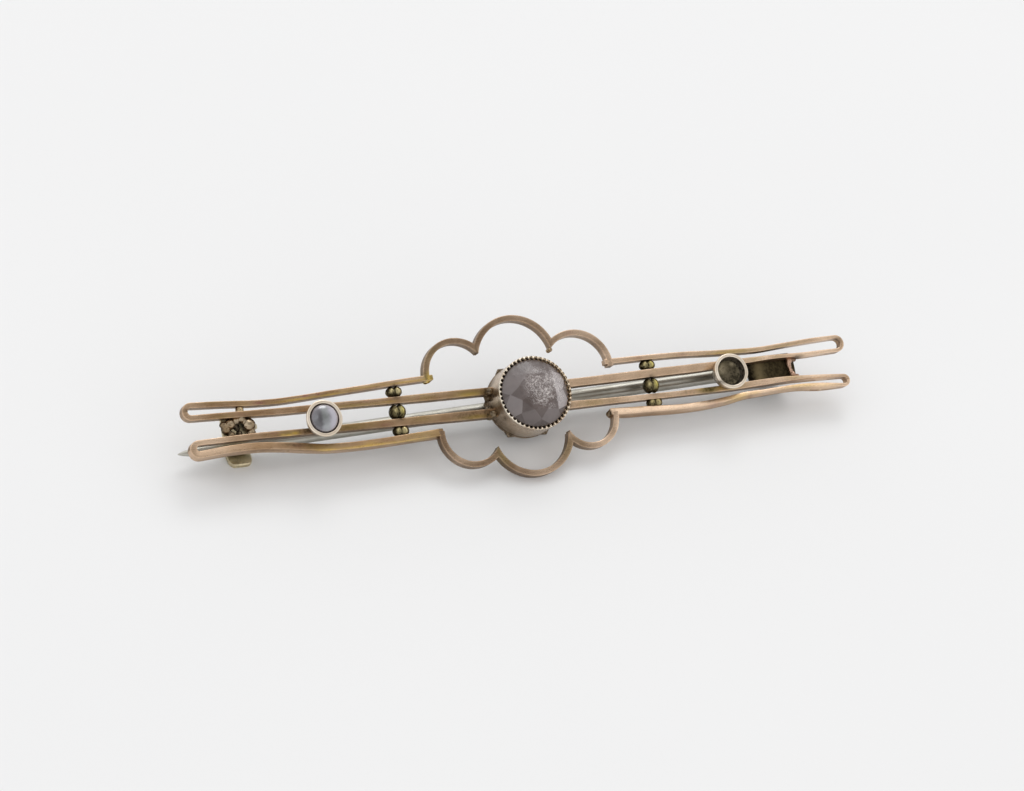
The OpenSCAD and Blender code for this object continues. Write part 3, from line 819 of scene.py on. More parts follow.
def stone_material():
    """Smoky mauve stone whose table is scratched and abraded."""
    material, tree, shader = new_material("smoky mauve stone")
    here = in_millimetres(tree)
    away = distance_from(tree, here, (*SCRATCHED, GIRDLE_Z + CROWN_H))
    patch = spread(tree, away, *SCRATCHED_REACH, 1.0, 0.0, "LINEAR")
    far = spread(tree, away, *DARKENS, 0.0, 0.6, "LINEAR")
    cloud = spread(tree, noise_at(tree, here, 0.9, 4, 0.6), 0.35, 0.66)
    ragged = spread(tree, noise_at(tree, here, 1.6, 4, 0.7), 0.36, 0.6)
    grit = spread(tree, noise_at(tree, here, 9.0, 5, 0.75), 0.49, 0.58)
    worn = times(tree, times(tree, patch, ragged), scaled(tree, grit, 0.8, 0.2))
    colour = mix_colour(tree, cloud, STONE_DEEP, STONE_PALE)
    colour = mix_colour(tree, far, colour, STONE_RIM)
    colour = mix_colour(tree, times(tree, mask_of(tree, "facet_light"), 0.85), colour, STONE_GLINT)
    colour = mix_colour(tree, worn, colour, STONE_WORN)
    tree.links.new(colour, shader.inputs["Base Color"])
    tree.links.new(scaled(tree, worn, 0.4, 0.2), shader.inputs["Roughness"])
    bump_to(tree, shader, grit, 0.006, 0.6)
    shader.inputs["IOR"].default_value = 1.6
    shader.inputs["Transmission Weight"].default_value = 0.25
    return material


# Pearl colours: painted shade for its left, painted light for its right, then a band, clouds and
# its edge
PEARL_SHADED, PEARL_LIT, PEARL_BAND = (0.085, 0.082, 0.09), (0.4, 0.39, 0.44), (0.24, 0.27, 0.25)
PEARL_CLOUD, PEARL_SIDE = (0.4, 0.41, 0.45), (0.42, 0.36, 0.4)


def pearl_material():
    """Grey-blue half pearl: a soft cloudy body, painted darker on its left and lighter on its
    right, under a clear lustre.
    """
    material, tree, shader = new_material("half pearl")
    here = in_millimetres(tree)
    cloud = spread(tree, noise_at(tree, here, 1.3, 3), 0.35, 0.65)
    middle = LIE @ Vector((-CUP_X, 0, CUP_H)) / MM
    split = tree.nodes.new("ShaderNodeSeparateXYZ")
    tree.links.new(here, split.inputs[0])
    side = math_node(tree, "SUBTRACT", split.outputs["X"], middle.x, clamp=False)
    right = spread(tree, plus(tree, side, times(tree, cloud, 0.5), clamp=False), -0.5, 1.0)
    band = spread(tree, math_node(tree, "ABSOLUTE", side, clamp=False), 0.45, 0.1)
    # Painted shade on the pearl's left, painted light on its right
    colour = mix_colour(tree, right, PEARL_SHADED, PEARL_LIT)
    colour = mix_colour(tree, times(tree, band, 0.6), colour, PEARL_BAND)
    colour = mix_colour(tree, times(tree, cloud, 0.2), colour, PEARL_CLOUD)
    facing = tree.nodes.new("ShaderNodeLayerWeight")
    facing.inputs["Blend"].default_value = 0.35
    colour = mix_colour(tree, facing.outputs["Facing"], colour, PEARL_SIDE)
    tree.links.new(colour, shader.inputs["Base Color"])
    shader.inputs["Roughness"].default_value = 0.26
    shader.inputs["Metallic"].default_value = 0.55
    shader.inputs["Coat Weight"].default_value = 0.9
    shader.inputs["Coat Roughness"].default_value = 0.12
    return material


PIN_STEEL = steel()
STONE = stone_material()
PEARL = pearl_material()


# Strips

# How far apart the rows of a strip are
STEP = 0.16
# Corners of the section, top and bottom, and how much its face is crowned
TOP_CORNER = 0.045
LOW_CORNER = 0.04
CROWN = 0.008


def smooth_curve(rows, step):
    """Rows along a smooth curve through the given ones, about step apart. Columns stay."""
    p = np.array([tuple(row) + (0,) * (4 - len(row)) for row in rows], float)
    t = np.r_[0, np.cumsum(np.linalg.norm(np.diff(p[:, :2], axis=0), axis=1))]
    slope = np.gradient(p, t, axis=0)
    out = []
    for i in range(len(p) - 1):
        span = t[i + 1] - t[i]
        n = max(2, int(span / step))
        for s in np.arange(n) / n:
            h = ((1 + 2 * s) * (1 - s) ** 2, s * (1 - s) ** 2, s * s * (3 - 2 * s),
                 s * s * (s - 1))
            out.append(h[0] * p[i] + h[1] * span * slope[i] + h[2] * p[i + 1]
                       + h[3] * span * slope[i + 1])
    return np.array(out + [p[-1]])


def backward(rows):
    """The same bar from its other end, so that it leans to the other hand."""
    return [tuple(row[:3]) + tuple(-lean for lean in row[3:]) for row in rows[::-1]]


def turned_end(turn, lean=0, steps=24):
    """Rows round the end of a loop. The lean comes in over its last half."""
    x, y, r, first, last, w0, w1 = turn
    part = np.linspace(0, 1, steps)
    angles = np.radians(first + (last - first) * part)
    return np.stack([x + r * np.cos(angles), y + r * np.sin(angles), w0 + (w1 - w0) * part,
                     lean * np.clip(2 * part - 1, 0, 1)], 1)


def section_corner(x, z, r, degrees, bright):
    """Points round one corner of a section."""
    return [(x + r * math.cos(a), z + r * math.sin(a), bright) for a in np.radians(degrees)]


def strip_section(width):
    """Section of a strip: columns are across, up and how bright the edge is worn."""
    w, top_r, low_r = width / 2, min(TOP_CORNER, width * 0.15), LOW_CORNER
    ring = [(w, -STRIP_H * k / 4, 0.0) for k in (3, 2, 1)]
    ring += section_corner(w - top_r, -CROWN - top_r, top_r, [0, 30, 60, 90], 0.5)
    ring += [((w - top_r) * f, -CROWN * f * f, 0.0) for f in (0.7, 0.35, 0, -0.35, -0.7)]
    ring += section_corner(-w + top_r, -CROWN - top_r, top_r, [90, 120, 150, 180], 0.5)
    ring += [(-w, -STRIP_H * k / 4, 0.0) for k in (1, 2, 3)]
    ring += section_corner(-w + low_r, -STRIP_H + low_r, low_r, [180, 225, 270], 0.1)
    ring += section_corner(w - low_r, -STRIP_H + low_r, low_r, [270, 315, 360], 0.1)
    return ring


def leaning_section(covers, degrees):
    """Section of a strip that leans and covers a width in all, its highest point at the front."""
    lean = math.radians(degrees)
    width = (covers - STRIP_H * abs(math.sin(lean))) / math.cos(lean)
    middle = STRIP_H / 2
    ring = [(across * math.cos(lean) + (up + middle) * math.sin(lean),
             (up + middle) * math.cos(lean) - across * math.sin(lean) - middle, bright)
            for across, up, bright in strip_section(width)]
    top = max(up for _, up, _ in ring)
    return [(across, up - top, bright) for across, up, bright in ring]


SECTION = strip_section(STRIP_W)


def along_strip(build, path, seed):
    """A strip on edge, swept along a flat path, slightly uneven as hand-worked strip is."""
    for _ in range(2):
        path[1:-1] = path[1:-1] * 0.5 + (path[:-2] + path[2:]) * 0.25
    tangent = np.gradient(path[:, :2], axis=0)
    tangent /= np.linalg.norm(tangent, axis=1)[:, None]
    points, edge = [], []
    for k, (p, d) in enumerate(zip(path, tangent)):
        wide = 1 + 0.04 * wave(p[0], p[1], seed, 2.2)
        lift = min(0.022 * wave(p[0], p[1], seed + 5, 3.0), 0)
        shrink = 0.9 if k in (0, len(path) - 1) else 1.0
        for across, up, bright in leaning_section(p[2] * wide * shrink, p[3]):
            points.append((p[0] - d[1] * across, p[1] + d[0] * across, min(up * shrink, 0) + lift))
            edge.append(bright)
    capped(build, len(path), len(SECTION), points, edge)


def loop(build, seed, one, turn, two, lean=0):
    """A long strip: a bar, the turned end, and the bar that it runs back along."""
    path = [smooth_curve(one, STEP)[:-1], turned_end(turn, lean)[:-1], smooth_curve(two, STEP)]
    along_strip(build, np.concatenate(path), seed)


def strips():
    """The four long turned strips."""
    build = Build()
    loop(build, 1, backward(UPPER_OUTER_LEFT), TURNS[0], UPPER_INNER_LEFT)
    loop(build, 2, backward(LOWER_INNER_LEFT), TURNS[1], LOWER_OUTER_LEFT, LOWER_OUTER_LEFT[0][3])
    loop(build, 3, UPPER_INNER_RIGHT, TURNS[2], backward(UPPER_OUTER_RIGHT))
    loop(build, 4, LOWER_INNER_RIGHT, TURNS[3], backward(LOWER_OUTER_RIGHT))
    return finished("long_loops", build, FRAME_GOLD, ["frame"], on_bars=True)


# Scallops

# Room at a mitred seam, in degrees, and how far apart the rows of a scallop are
SEAM_ROOM = 0.25
SCALLOP_STEP = 0.14


def circle_meets_line(x, y, r, a, b, near):
    """Angle at which a circle about (x, y) meets the line a-b, close to an angle."""
    d = np.subtract(b, a)
    f = np.subtract(a, (x, y))
    qa, qb, qc = d @ d, 2 * f @ d, f @ f - r * r
    root = qb * qb - 4 * qa * qc
    if root < 0:
        return near
    spots = [np.add(a, d * (-qb + s * math.sqrt(root)) / (2 * qa)) for s in (-1, 1)]
    angles = [math.degrees(math.atan2(q[1] - y, q[0] - x)) for q in spots]
    angles = [g + 360 * round((near - g) / 360) for g in angles]
    return min(angles, key=lambda g: abs(g - near))


def circles_meet(one, two, wider, up):
    """Where two scallops' circles cross, widened by wider, on the upper or lower side."""
    (x1, y1, r1), (x2, y2, r2) = one[:3], two[:3]
    r1, r2 = r1 + wider, r2 + wider
    far = math.hypot(x2 - x1, y2 - y1)
    a = (far * far + r1 * r1 - r2 * r2) / (2 * far)
    h = math.sqrt(max(0.0, r1 * r1 - a * a)) * up
    ex, ey = (x2 - x1) / far, (y2 - y1) / far
    return (x1 + a * ex - h * ey, y1 + a * ey + h * ex)


def mitred_rails(arc, before, after):
    """Each point of the section, with the angles between which it runs along a scallop.

    Before and after are the seams with the neighbours, where there are any.
    """
    x, y, r, first, last = arc
    turn = 1 if last > first else -1
    later, sooner = (max, min) if turn > 0 else (min, max)
    rails = []
    for across, height, bright in SECTION:
        rho, start, end = r + across, first, last
        if before:
            start = later(first, circle_meets_line(x, y, rho, *before, first) + turn * SEAM_ROOM)
        if after:
            end = sooner(last, circle_meets_line(x, y, rho, *after, last) - turn * SEAM_ROOM)
        rails.append((rho, height, bright, start, end))
    return rails


def scallop_row(build, arcs, up, seed):
    """Three scallops whose ends are mitred against each other at the cusps."""
    seams = [[circles_meet(one, two, w, up) for w in (STRIP_W / 2, -STRIP_W / 2)]
             for one, two in zip(arcs, arcs[1:])]
    for k, (arc, before, after) in enumerate(zip(arcs, [None] + seams, seams + [None])):
        x, y, r, first, last = arc
        rails = mitred_rails(arc, before, after)
        steps = int(math.radians(abs(last - first)) * r / SCALLOP_STEP)
        points, edge = [], []
        for s in range(steps + 1):
            for rho, height, bright, start, end in rails:
                a = math.radians(start + (end - start) * (s / steps))
                out = r + (rho - r) * (1 + 0.05 * wave(a * r, k, seed, 1.8))
                lift = min(0.0, 0.022 * wave(a * r, k, seed + 3, 2.5))
                points.append((x + out * math.cos(a), y + out * math.sin(a), height + lift))
                edge.append(bright)
        capped(build, steps + 1, len(SECTION), points, edge)


def scallop_wall_shade_and_tarnish(p):
    """Painted shade and tarnish on the scallops' walls, darker the further they are below the
    face.
    """
    return 0.5 * min(1.0, max(0.0, -p[2] - 0.04) / 0.2)


def scallops():
    """The upper and the lower row of scallops."""
    build = Build()
    scallop_row(build, UPPER_SCALLOPS, 1, 11)
    scallop_row(build, LOWER_SCALLOPS, -1, 12)
    return finished("scalloped_surround", build, SCALLOP_GOLD, ["frame"],
                    soil_and_shade=scallop_wall_shade_and_tarnish)


# Spacer balls and solder

def ball_shade_and_highlights(p):
    """Painted shade over the whole ball but for a painted highlight on each lobe."""
    x, y, r = min(BALLS, key=lambda ball: math.hypot(p[0] - ball[0], p[1] - ball[1]))
    side = 1 if p[0] > x else -1
    shine = Vector((x + side * 0.3, y + 0.05, r * 0.9 - BALL_DEPTH))
    reach = 0.27 if side > 0 else 0.15
    return 1.15 * (1 - math.exp(-((Vector(p) - shine).length / reach) ** 2))


def spacer_balls():
    """Balls between the bars, each pinched into two lobes by the bars' solder."""
    build = Build()
    for k, (x, y, r) in enumerate(BALLS):
        bm = bmesh.new()
        bmesh.ops.create_uvsphere(bm, u_segments=40, v_segments=28, radius=1)
        points = []
        for v in bm.verts:
            along = v.co.z
            waist = 1 - 0.24 * math.exp(-(along / 0.2) ** 2)
            rough = 1 + 0.02 * noise.fractal(v.co * 2 + Vector((k, 0, 0)), 0.8, 2, 3)
            points.append((x + along * LOBES_LONG * rough, y + v.co.x * r * waist * rough,
                           v.co.y * r * waist * rough - BALL_DEPTH))
        build.add(points, [[v.index for v in f.verts] for f in bm.faces])
        bm.free()
    return finished("spacer_balls", build, BALL_GOLD, ["frame"], soil_and_shade=ball_shade_and_highlights)


# Solder at the collet and at the scallops' feet: columns are x, y and radius
FEET = [(-3.2, 0.84, 0.34), (-3.25, -0.88, 0.38), (3.1, 0.8, 0.3), (3.1, -0.88, 0.28),
        (-7.75, 2.25, 0.26), (7.35, 2.05, 0.2), (-7.4, -1.85, 0.22), (6.7, -1.9, 0.26)]
# Dark solder where the left bars meet the collet: columns are x, y, z and radius
COLLET_FOOT = [(-2.98, 0.86, -0.14, 0.3), (-3.15, 0.84, -0.42, 0.4), (-3.02, 0.45, -0.6, 0.3),
               (-2.98, -0.92, -0.14, 0.32), (-3.2, -0.9, -0.42, 0.42), (-3.04, -0.45, -0.62, 0.3)]
# Solder bridge at the end of the hinge plate: columns are x, y, z and radius
BRIDGE = [(22.75, 0.72, -0.5, 0.28), (22.68, 0.45, -0.52, 0.22), (22.7, 0.2, -0.54, 0.2),
          (22.76, -0.1, -0.54, 0.2), (22.85, -0.4, -0.5, 0.26), (23.2, 0.76, -0.55, 0.2),
          (23.2, -0.6, -0.5, 0.2)]
# Solder round the catch's plate: columns are x, y, z and radius
CATCH_LUMPS = [(-22.35, 0.45, -0.5, 0.52), (-22.2, -0.1, -0.6, 0.36), (-22.9, 0.95, -0.36, 0.34),
               (-23.8, 0.62, -0.5, 0.42), (-24.15, 0.25, -0.6, 0.34), (-24.3, 0.66, -0.55, 0.26),
               (-22.9, 1.6, -0.34, 0.34), (-23.3, 0.85, -0.5, 0.3), (-23.75, -0.15, -0.65, 0.3),
               (-23.1, -0.1, -0.75, 0.26), (-23.2, 0.4, -0.9, 0.3)]
# Blunt cusp between the middle and the right upper scallop: x, y and radius
CUSP = (2.66, 3.6, 0.2)


def solder_soil(p):
    """Solder that is dark where the left bars meet the collet."""
    return 0.75 if -3.7 < p[0] < -2.5 and abs(p[1]) < 1.5 else 0.0


def joint_solder():
    """Solder at the scallops' feet, at the collet and at the blunt cusp."""
    build = Build()
    for k, (x, y, r) in enumerate(FEET):
        melted(build, [(x - 0.1, y, -0.42, r), (x + 0.12, y + 0.03, -0.45, r * 0.9)], 0.02, k)
    x, y, r = CUSP
    melted(build, [(x, y, -0.22, r), (x, y, -0.58, r)], 0.01, 9)
    melted(build, COLLET_FOOT, 0.03, 7)
    return finished("joint_solder", build, SOLDER, ["frame"], soil_and_shade=solder_soil)


def solder_bridge():
    """Solder that runs across the end of the hinge plate."""
    build = Build()
    melted(build, BRIDGE, 0.04, 5)
    return finished("solder_bridge", build, BRIDGE_GOLD, ["frame"])


def catch_shade_and_blotches(p):
    """Painted shade in the hollow between the lumps of the catch's solder and deeper toward the
    back, with darker blotches here and there.
    """
    hollow = 1.2 * math.exp(-((p[0] + 23.25) / 0.34) ** 2 - ((p[1] - 0.25) / 0.5) ** 2)
    depth = min(1.1, max(0.0, -0.2 - p[2]) / 0.35)
    shade = 0.5 + 0.5 * wave(p[0], p[1], 31, 0.4)
    return max(hollow, depth, 0.9 * shade ** 2)


def catch_solder():
    """Rough solder that holds the catch's plate between the two inner bars."""
    build = Build()
    melted(build, CATCH_LUMPS, 0.035, 3, grain=0.045)
    return finished("catch_solder", build, SOLDER, ["frame"], soil_and_shade=catch_shade_and_blotches)


# Middle setting

# Teeth of the rim: their number, and how deep and how low the gaps between them are cut
TEETH = 48
TOOTH_DEEP = 0.14
TOOTH_LOW = 0.22
# The collet is a little wider along the bars than across them
RIM_X = 1.025
# Inner radius of the collet's wall, below the stone
WALL_IN = 2.3
# Corner of the sheet under the collet, out from its wall, and the turn of the first one
SHEET_OUT = 0.2
SHEET_TURN = 58


def milled_rim(angle, r, z):
    """Cuts the rim of the collet into slim teeth that lean over the stone."""
    if z < COLLET_TOP - 0.3 or r < COLLET_R - 0.45:
        return r + 0.012 * wave(3 * math.cos(angle), 3 * math.sin(angle), 2), z
    uneven = 0.8 * wave(math.cos(angle), math.sin(angle), 9, 0.4)
    tooth = 0.5 + 0.5 * math.cos(TEETH * angle + uneven)
    gap = (1 - tooth) ** 0.9
    inward = min(1.0, max(0.0, (COLLET_R - 0.05 - r) / 0.12))
    return r + TOOTH_DEEP * gap * inward, z - TOOTH_LOW * gap * inward


def collet_painted_shade(p):
    """Darkening of the collet: painted shade inside the rim, in the cuts between the teeth, on its
    shaded side, over the sheet under it and at the sheet's corner; painted dark reflections on its
    wall; and a dark line round its foot.
    """
    r = math.hypot(p[0] / RIM_X, p[1])
    # Painted shade inside the rim
    if r < COLLET_R - 0.24:
        return 0.35
    turn = math.degrees(math.atan2(p[1], p[0])) % 360
    low = min(1.0, max(0.0, (1.0 - p[2]) / 1.7))
    shaded = 0.85 * low * math.exp(-((turn - 200) / 66) ** 2)
    # Painted dark reflections on the wall
    dark_reflection = 0.6 * math.exp(-((turn - 190) / 15) ** 2 - ((p[2] - 0.2) / 0.6) ** 2)
    foot = 0.9 * math.exp(-((p[2] + COLLET_BASE - 0.34) / 0.07) ** 2)
    cut = 0.2 if p[2] < COLLET_TOP - 0.1 and r < COLLET_R - 0.06 else 0.0
    dark_glint = 0.75 * math.exp(-((turn - 212) / 6) ** 2 - ((p[2] - 0.75) / 0.35) ** 2)
    # Painted shade over the sheet under the collet and at its corner
    sheet_edge = 0.95 if r > COLLET_R + 0.02 else 0.0
    corner = 0.9 * math.exp(-((turn - 150) / 20) ** 2) if p[2] < -0.2 else 0.0
    return max(foot, shaded, dark_reflection, cut, dark_glint, sheet_edge, corner)


def collet_profile():
    """The collet from its foot up the wall, over the rim and down to its floor."""
    base, top = -COLLET_BASE, COLLET_TOP
    # Columns are how far in from the collet's radius, and the height
    wall = [(0.03, base + 0.01), (0.02, base + 0.3), (0.07, base + 0.36), (0.05, base + 0.5),
            (0.04, 0.0), (0.04, 0.8), (0.02, top - 0.3), (0, top - 0.16), (0.03, top - 0.06),
            (0.09, top - 0.01), (0.15, top), (0.21, top - 0.02), (0.26, top - 0.08),
            (0.29, top - 0.18), (0.29, GIRDLE_Z - 0.1)]
    under = [(0.2, base + 0.01), (2.2, base + 0.01)]
    floor = [(WALL_IN, GIRDLE_Z - 0.3), (WALL_IN, base + 0.24), (0.2, base + 0.24)]
    return rounded(under + [(COLLET_R - back, z) for back, z in wall] + floor, 0.04, 2)


def centre_collet():
    """Tall collet with a milled rim, a line round its foot and a clipped sheet under it."""
    build = Build()
    profile = collet_profile()
    edge = [2.4 if z > COLLET_TOP - 0.2 and r > COLLET_R - 0.3 else 0.0 for r, z in profile]
    lathe(build, profile, TEETH * 12, shape=milled_rim, edge=edge)
    sheet = [((COLLET_R + SHEET_OUT) * math.cos(a), (COLLET_R + SHEET_OUT) * math.sin(a))
             for a in np.radians(SHEET_TURN + 60 * np.arange(6))]
    bevelled_solid(build, sheet, -COLLET_BASE, -COLLET_BASE + 0.2, 0.03)
    build.move(Matrix.Diagonal((RIM_X, 1, 1, 1)))
    return finished("centre_collet_dressed", build, COLLET_GOLD,
                    ["centre_collet"], soil_and_shade=collet_painted_shade)


# Middle stone

# Facets of the crown that catch the light: columns are angle, reach, radius from and to, and
# brightness
BRIGHT_FACETS = [(8, 13, 1.5, 2.0, 0.9), (20, 13, 1.9, 2.4, 0.9), (-24, 13, 1.9, 2.4, 1.0),
                 (150, 25, 1.6, 2.5, 0.3), (205, 14, 1.6, 2.5, 0.4), (60, 12, 1.5, 2.0, 0.3),
                 (-60, 14, 2.0, 2.6, 0.25), (100, 20, 1.9, 2.6, 0.08)]
# The stone shows right up to the teeth, a little wider than the part's
STONE_VISIBLE_R = 2.61
# Turn of the table's corners and of the girdle's, in degrees
TABLE_TURN = 22.5
GIRDLE_TURN = 5.625


def facet_light(centre):
    """How bright a facet looks, from where its middle lies."""
    r, turn = math.hypot(centre.x, centre.y), math.degrees(math.atan2(centre.y, centre.x))
    for angle, reach, low, high, bright in BRIGHT_FACETS:
        if abs((turn - angle + 180) % 360 - 180) < reach and low <= r <= high:
            return bright
    return 0.1 * (1 + math.sin(7 * turn))


def stone_ring(bm, r, z, count, first):
    """Corners of the stone at one height, from an angle on."""
    angles = [math.radians(first + 360 * k / count) for k in range(count)]
    return [bm.verts.new((RIM_X * r * math.cos(a), r * math.sin(a), z)) for a in angles]


def stone_facets(bm):
    """Table, star, kite and girdle facets, and a plain pavilion."""
    table = stone_ring(bm, TABLE_R, GIRDLE_Z + CROWN_H, 8, TABLE_TURN)
    star = stone_ring(bm, (TABLE_R + STONE_R) / 2 + 0.1, GIRDLE_Z + CROWN_H * 0.6, 8, 0)
    girdle = stone_ring(bm, STONE_VISIBLE_R, GIRDLE_Z + 0.16, 32, GIRDLE_TURN)
    under = stone_ring(bm, STONE_VISIBLE_R, GIRDLE_Z + 0.06, 32, GIRDLE_TURN)
    middle = stone_ring(bm, STONE_R * 0.5, GIRDLE_Z - 0.8, 8, TABLE_TURN)
    culet = bm.verts.new((0, 0, GIRDLE_Z - 1.5))
    bm.faces.new(table)
    for k in range(8):
        n = (k + 1) % 8
        rim = [girdle[(4 * k + i) % 32] for i in range(5)]
        low = [under[(4 * k + i) % 32] for i in range(5)]
        for facet in ([table[k], star[n], table[n]], [table[k], star[k], rim[1], rim[2]],
                      [table[k], rim[2], star[n]], [star[k], rim[0], rim[1]],
                      [star[n], rim[2], rim[3]], [star[n], rim[3], rim[4]],
                      [middle[k], low[3], low[2], low[1], low[0]],
                      [middle[k], middle[n], low[4], low[3]], [middle[k], culet, middle[n]]):
            bm.faces.new(facet)
    for k in range(32):
        bm.faces.new([girdle[k], under[k], under[(k + 1) % 32], girdle[(k + 1) % 32]])


def centre_stone():
    """Round stone whose facets meet in fine worn edges."""
    bm = bmesh.new()
    stone_facets(bm)
    bmesh.ops.remove_doubles(bm, verts=bm.verts, dist=1e-5)
    bmesh.ops.recalc_face_normals(bm, faces=bm.faces)
    crown = [e for e in bm.edges if min(v.co.z for v in e.verts) > GIRDLE_Z + 0.3]
    bmesh.ops.bevel(bm, geom=crown, offset=0.02, segments=1, affect="EDGES")
    top = [f for f in bm.faces if f.calc_center_median().z > GIRDLE_Z + CROWN_H - 0.01]
    bmesh.ops.poke(bm, faces=[f for f in top if len(f.verts) > 6])
    bm.verts.index_update()
    build = Build()
    build.add([v.co for v in bm.verts], [[v.index for v in f.verts] for f in bm.faces])
    light = [facet_light(f.calc_center_median()) for f in bm.faces]
    bm.free()
    piece = finished("centre_stone_cut", build, STONE, ["centre_stone"], flat=True)
    mask = piece.data.attributes.new("facet_light", "FLOAT", "FACE")
    mask.data.foreach_set("value", np.array(light, np.float32))
    return piece


# Small cups, the half pearl and what is left in the empty cup

# A cup: how far its rim is rolled in, its wall at the foot, and the height of its floor
CUP_LIP = 0.28
CUP_WALL = 0.22
CUP_FLOOR = 0.2
# Radius of each cup's foot, and the height up to which it carries painted shade inside
PEARL_FOOT_R, PEARL_DARK_TO = 1.12, CUP_H - 0.3
EMPTY_FOOT_R, EMPTY_DARK_TO = 1.18, CUP_H - 0.05
# Where the painted shade inside a cup is lifted most by painted light, in degrees round it
CUP_LIT_FROM = 135
# Height of the pearl's dome above its widest place, and radius of the cement
PEARL_RISE = 0.495
RESIDUE_R = 0.98


def cup_profile(foot_r):
    """Small cup that widens to a smooth rolled rim."""
    foot_in = foot_r - CUP_WALL
    return rounded([(0.05, 0), (foot_r - 0.02, 0), (CUP_R - 0.02, CUP_H - 0.14),
                    (CUP_R - 0.03, CUP_H - 0.04), (CUP_R - 0.12, CUP_H),
                    (CUP_R - CUP_LIP, CUP_H - 0.02), (CUP_R - CUP_LIP - 0.03, CUP_H - 0.12),
                    (foot_in + 0.12, 0.55), (foot_in, CUP_FLOOR), (0.05, CUP_FLOOR)], 0.05, 3)


def small_cup(name, centre, foot_r, node, dark_to):
    """A small cup with painted shade inside up to a height."""
    build = Build()
    profile = cup_profile(foot_r)
    edge = [1.0 if z > CUP_H - 0.1 else 0.0 for r, z in profile]

    def uneven(a, r, z):
        return r + 0.02 * wave(2 * math.cos(a), 2 * math.sin(a), 4), z

    # Painted shade inside the cup, lighter toward CUP_LIT_FROM where painted light falls, and
    # darker near its foot
    def soil_and_shade(p):
        across, up = p[0] - centre[0], p[1] - centre[1]
        if math.hypot(across, up) >= CUP_R - 0.26 or not CUP_FLOOR - 0.05 < p[2] < dark_to:
            return 0.8 * math.exp(-(p[2] / 0.15) ** 2)
        turn = math.degrees(math.atan2(up, across))
        return 1.0 - 0.6 * math.exp(-((turn - CUP_LIT_FROM) / 50) ** 2)

    lathe(build, profile, 96, centre, uneven, edge)
    return finished(name, build, CUP_GOLD, [node], soil_and_shade=soil_and_shade)


def residue_dirt_and_light(p):
    """Dark cement, with a painted lit patch at its upper left and a small painted highlight."""
    x, y = p[0] - CUP_X, p[1]
    patch = math.exp(-((x + 0.35) / 0.5) ** 2 - ((y - 0.5) / 0.5) ** 2)
    spot = math.exp(-((x - 0.45) / 0.16) ** 2 - ((y - 0.75) / 0.16) ** 2)
    return 0.95 - 0.8 * max(patch, spot)


def cup_residue():
    """Old cement left in the empty cup: a flat underside, and a dished, uneven top."""
    build = Build()
    rings, around = 10, 40
    points = []
    for k in range(rings, -1, -1):
        r = 0.02 + (RESIDUE_R - 0.02) * min(k, rings - 1) / (rings - 1)
        for s in range(around):
            a = math.tau * s / around
            x, y = r * math.cos(a), r * math.sin(a)
            top = 0.27 + 0.2 * r ** 4 + 0.05 * wave(x, y, 6, 0.35)
            points.append((CUP_X + x, EMPTY_CUP_Y + y, top if k < rings else CUP_FLOOR - 0.01))
    capped(build, rings + 1, around, points, [0.0] * len(points))
    return finished("cup_residue", build, CUP_DIRT, soil_and_shade=residue_dirt_and_light)


def half_pearl():
    """Half pearl, very slightly uneven, over a foot that narrows with the cup."""
    build = Build()
    profile = [(0.02, 0.23), (0.84, 0.23), (0.96, 0.56), (1.03, 0.82)]
    for a in np.radians(np.linspace(4, 89, 24)):
        profile.append((PEARL_R * 0.985 * math.cos(a) ** 0.8, 0.94 + PEARL_RISE * math.sin(a)))

    def uneven(a, r, z):
        return r * (1 + 0.008 * wave(2 * math.cos(a), 2 * math.sin(a) + z, 8)), z

    lathe(build, profile, 72, (-CUP_X, 0, 0), uneven)
    return finished("half_pearl_dressed", build, PEARL, ["half_pearl"], sharp=60)


# Catch

# How far from its tip the tongue's corners are rounded, and its strip narrows
TONGUE_CORNER = 0.52
TONGUE_NARROWS = 1.6
# Radius of the corners of the catch's strip
CATCH_EDGE = 0.09


def hook_path():
    """Middle line of the hook from its leg round the bend to the tongue's tip, as (y, z)."""
    mid = HOOK_IN + CATCH_T / 2
    leg_top = PLATE_BACK + PLATE_T / 2 - CATCH_AT.z
    bend_end = math.radians(270) - TONGUE_RISE
    path = [(mid, z) for z in np.linspace(leg_top, 0.05, 6)]
    path += [(mid * math.cos(a), mid * math.sin(a)) for a in np.linspace(math.tau, bend_end, 20)]
    start = Vector(path[-1])
    along = Vector((math.sin(bend_end), -math.cos(bend_end)))
    path += [tuple(start + along * TONGUE_LEN * t) for t in np.linspace(0.1, 1, 16)]
    return np.array(path)


def strip_corners(half_w, thin):
    """Section of the catch strip: half its width, and how thin it is at this place."""
    half_t, r = CATCH_T / 2, CATCH_EDGE
    for sx, sy in ((1, 1), (-1, 1), (-1, -1), (1, -1)):
        for a in np.radians([0, 45, 90]) if sx * sy > 0 else np.radians([90, 45, 0]):
            yield sx * (half_w - r + r * math.cos(a)), sy * (half_t - r + r * math.sin(a)) * thin


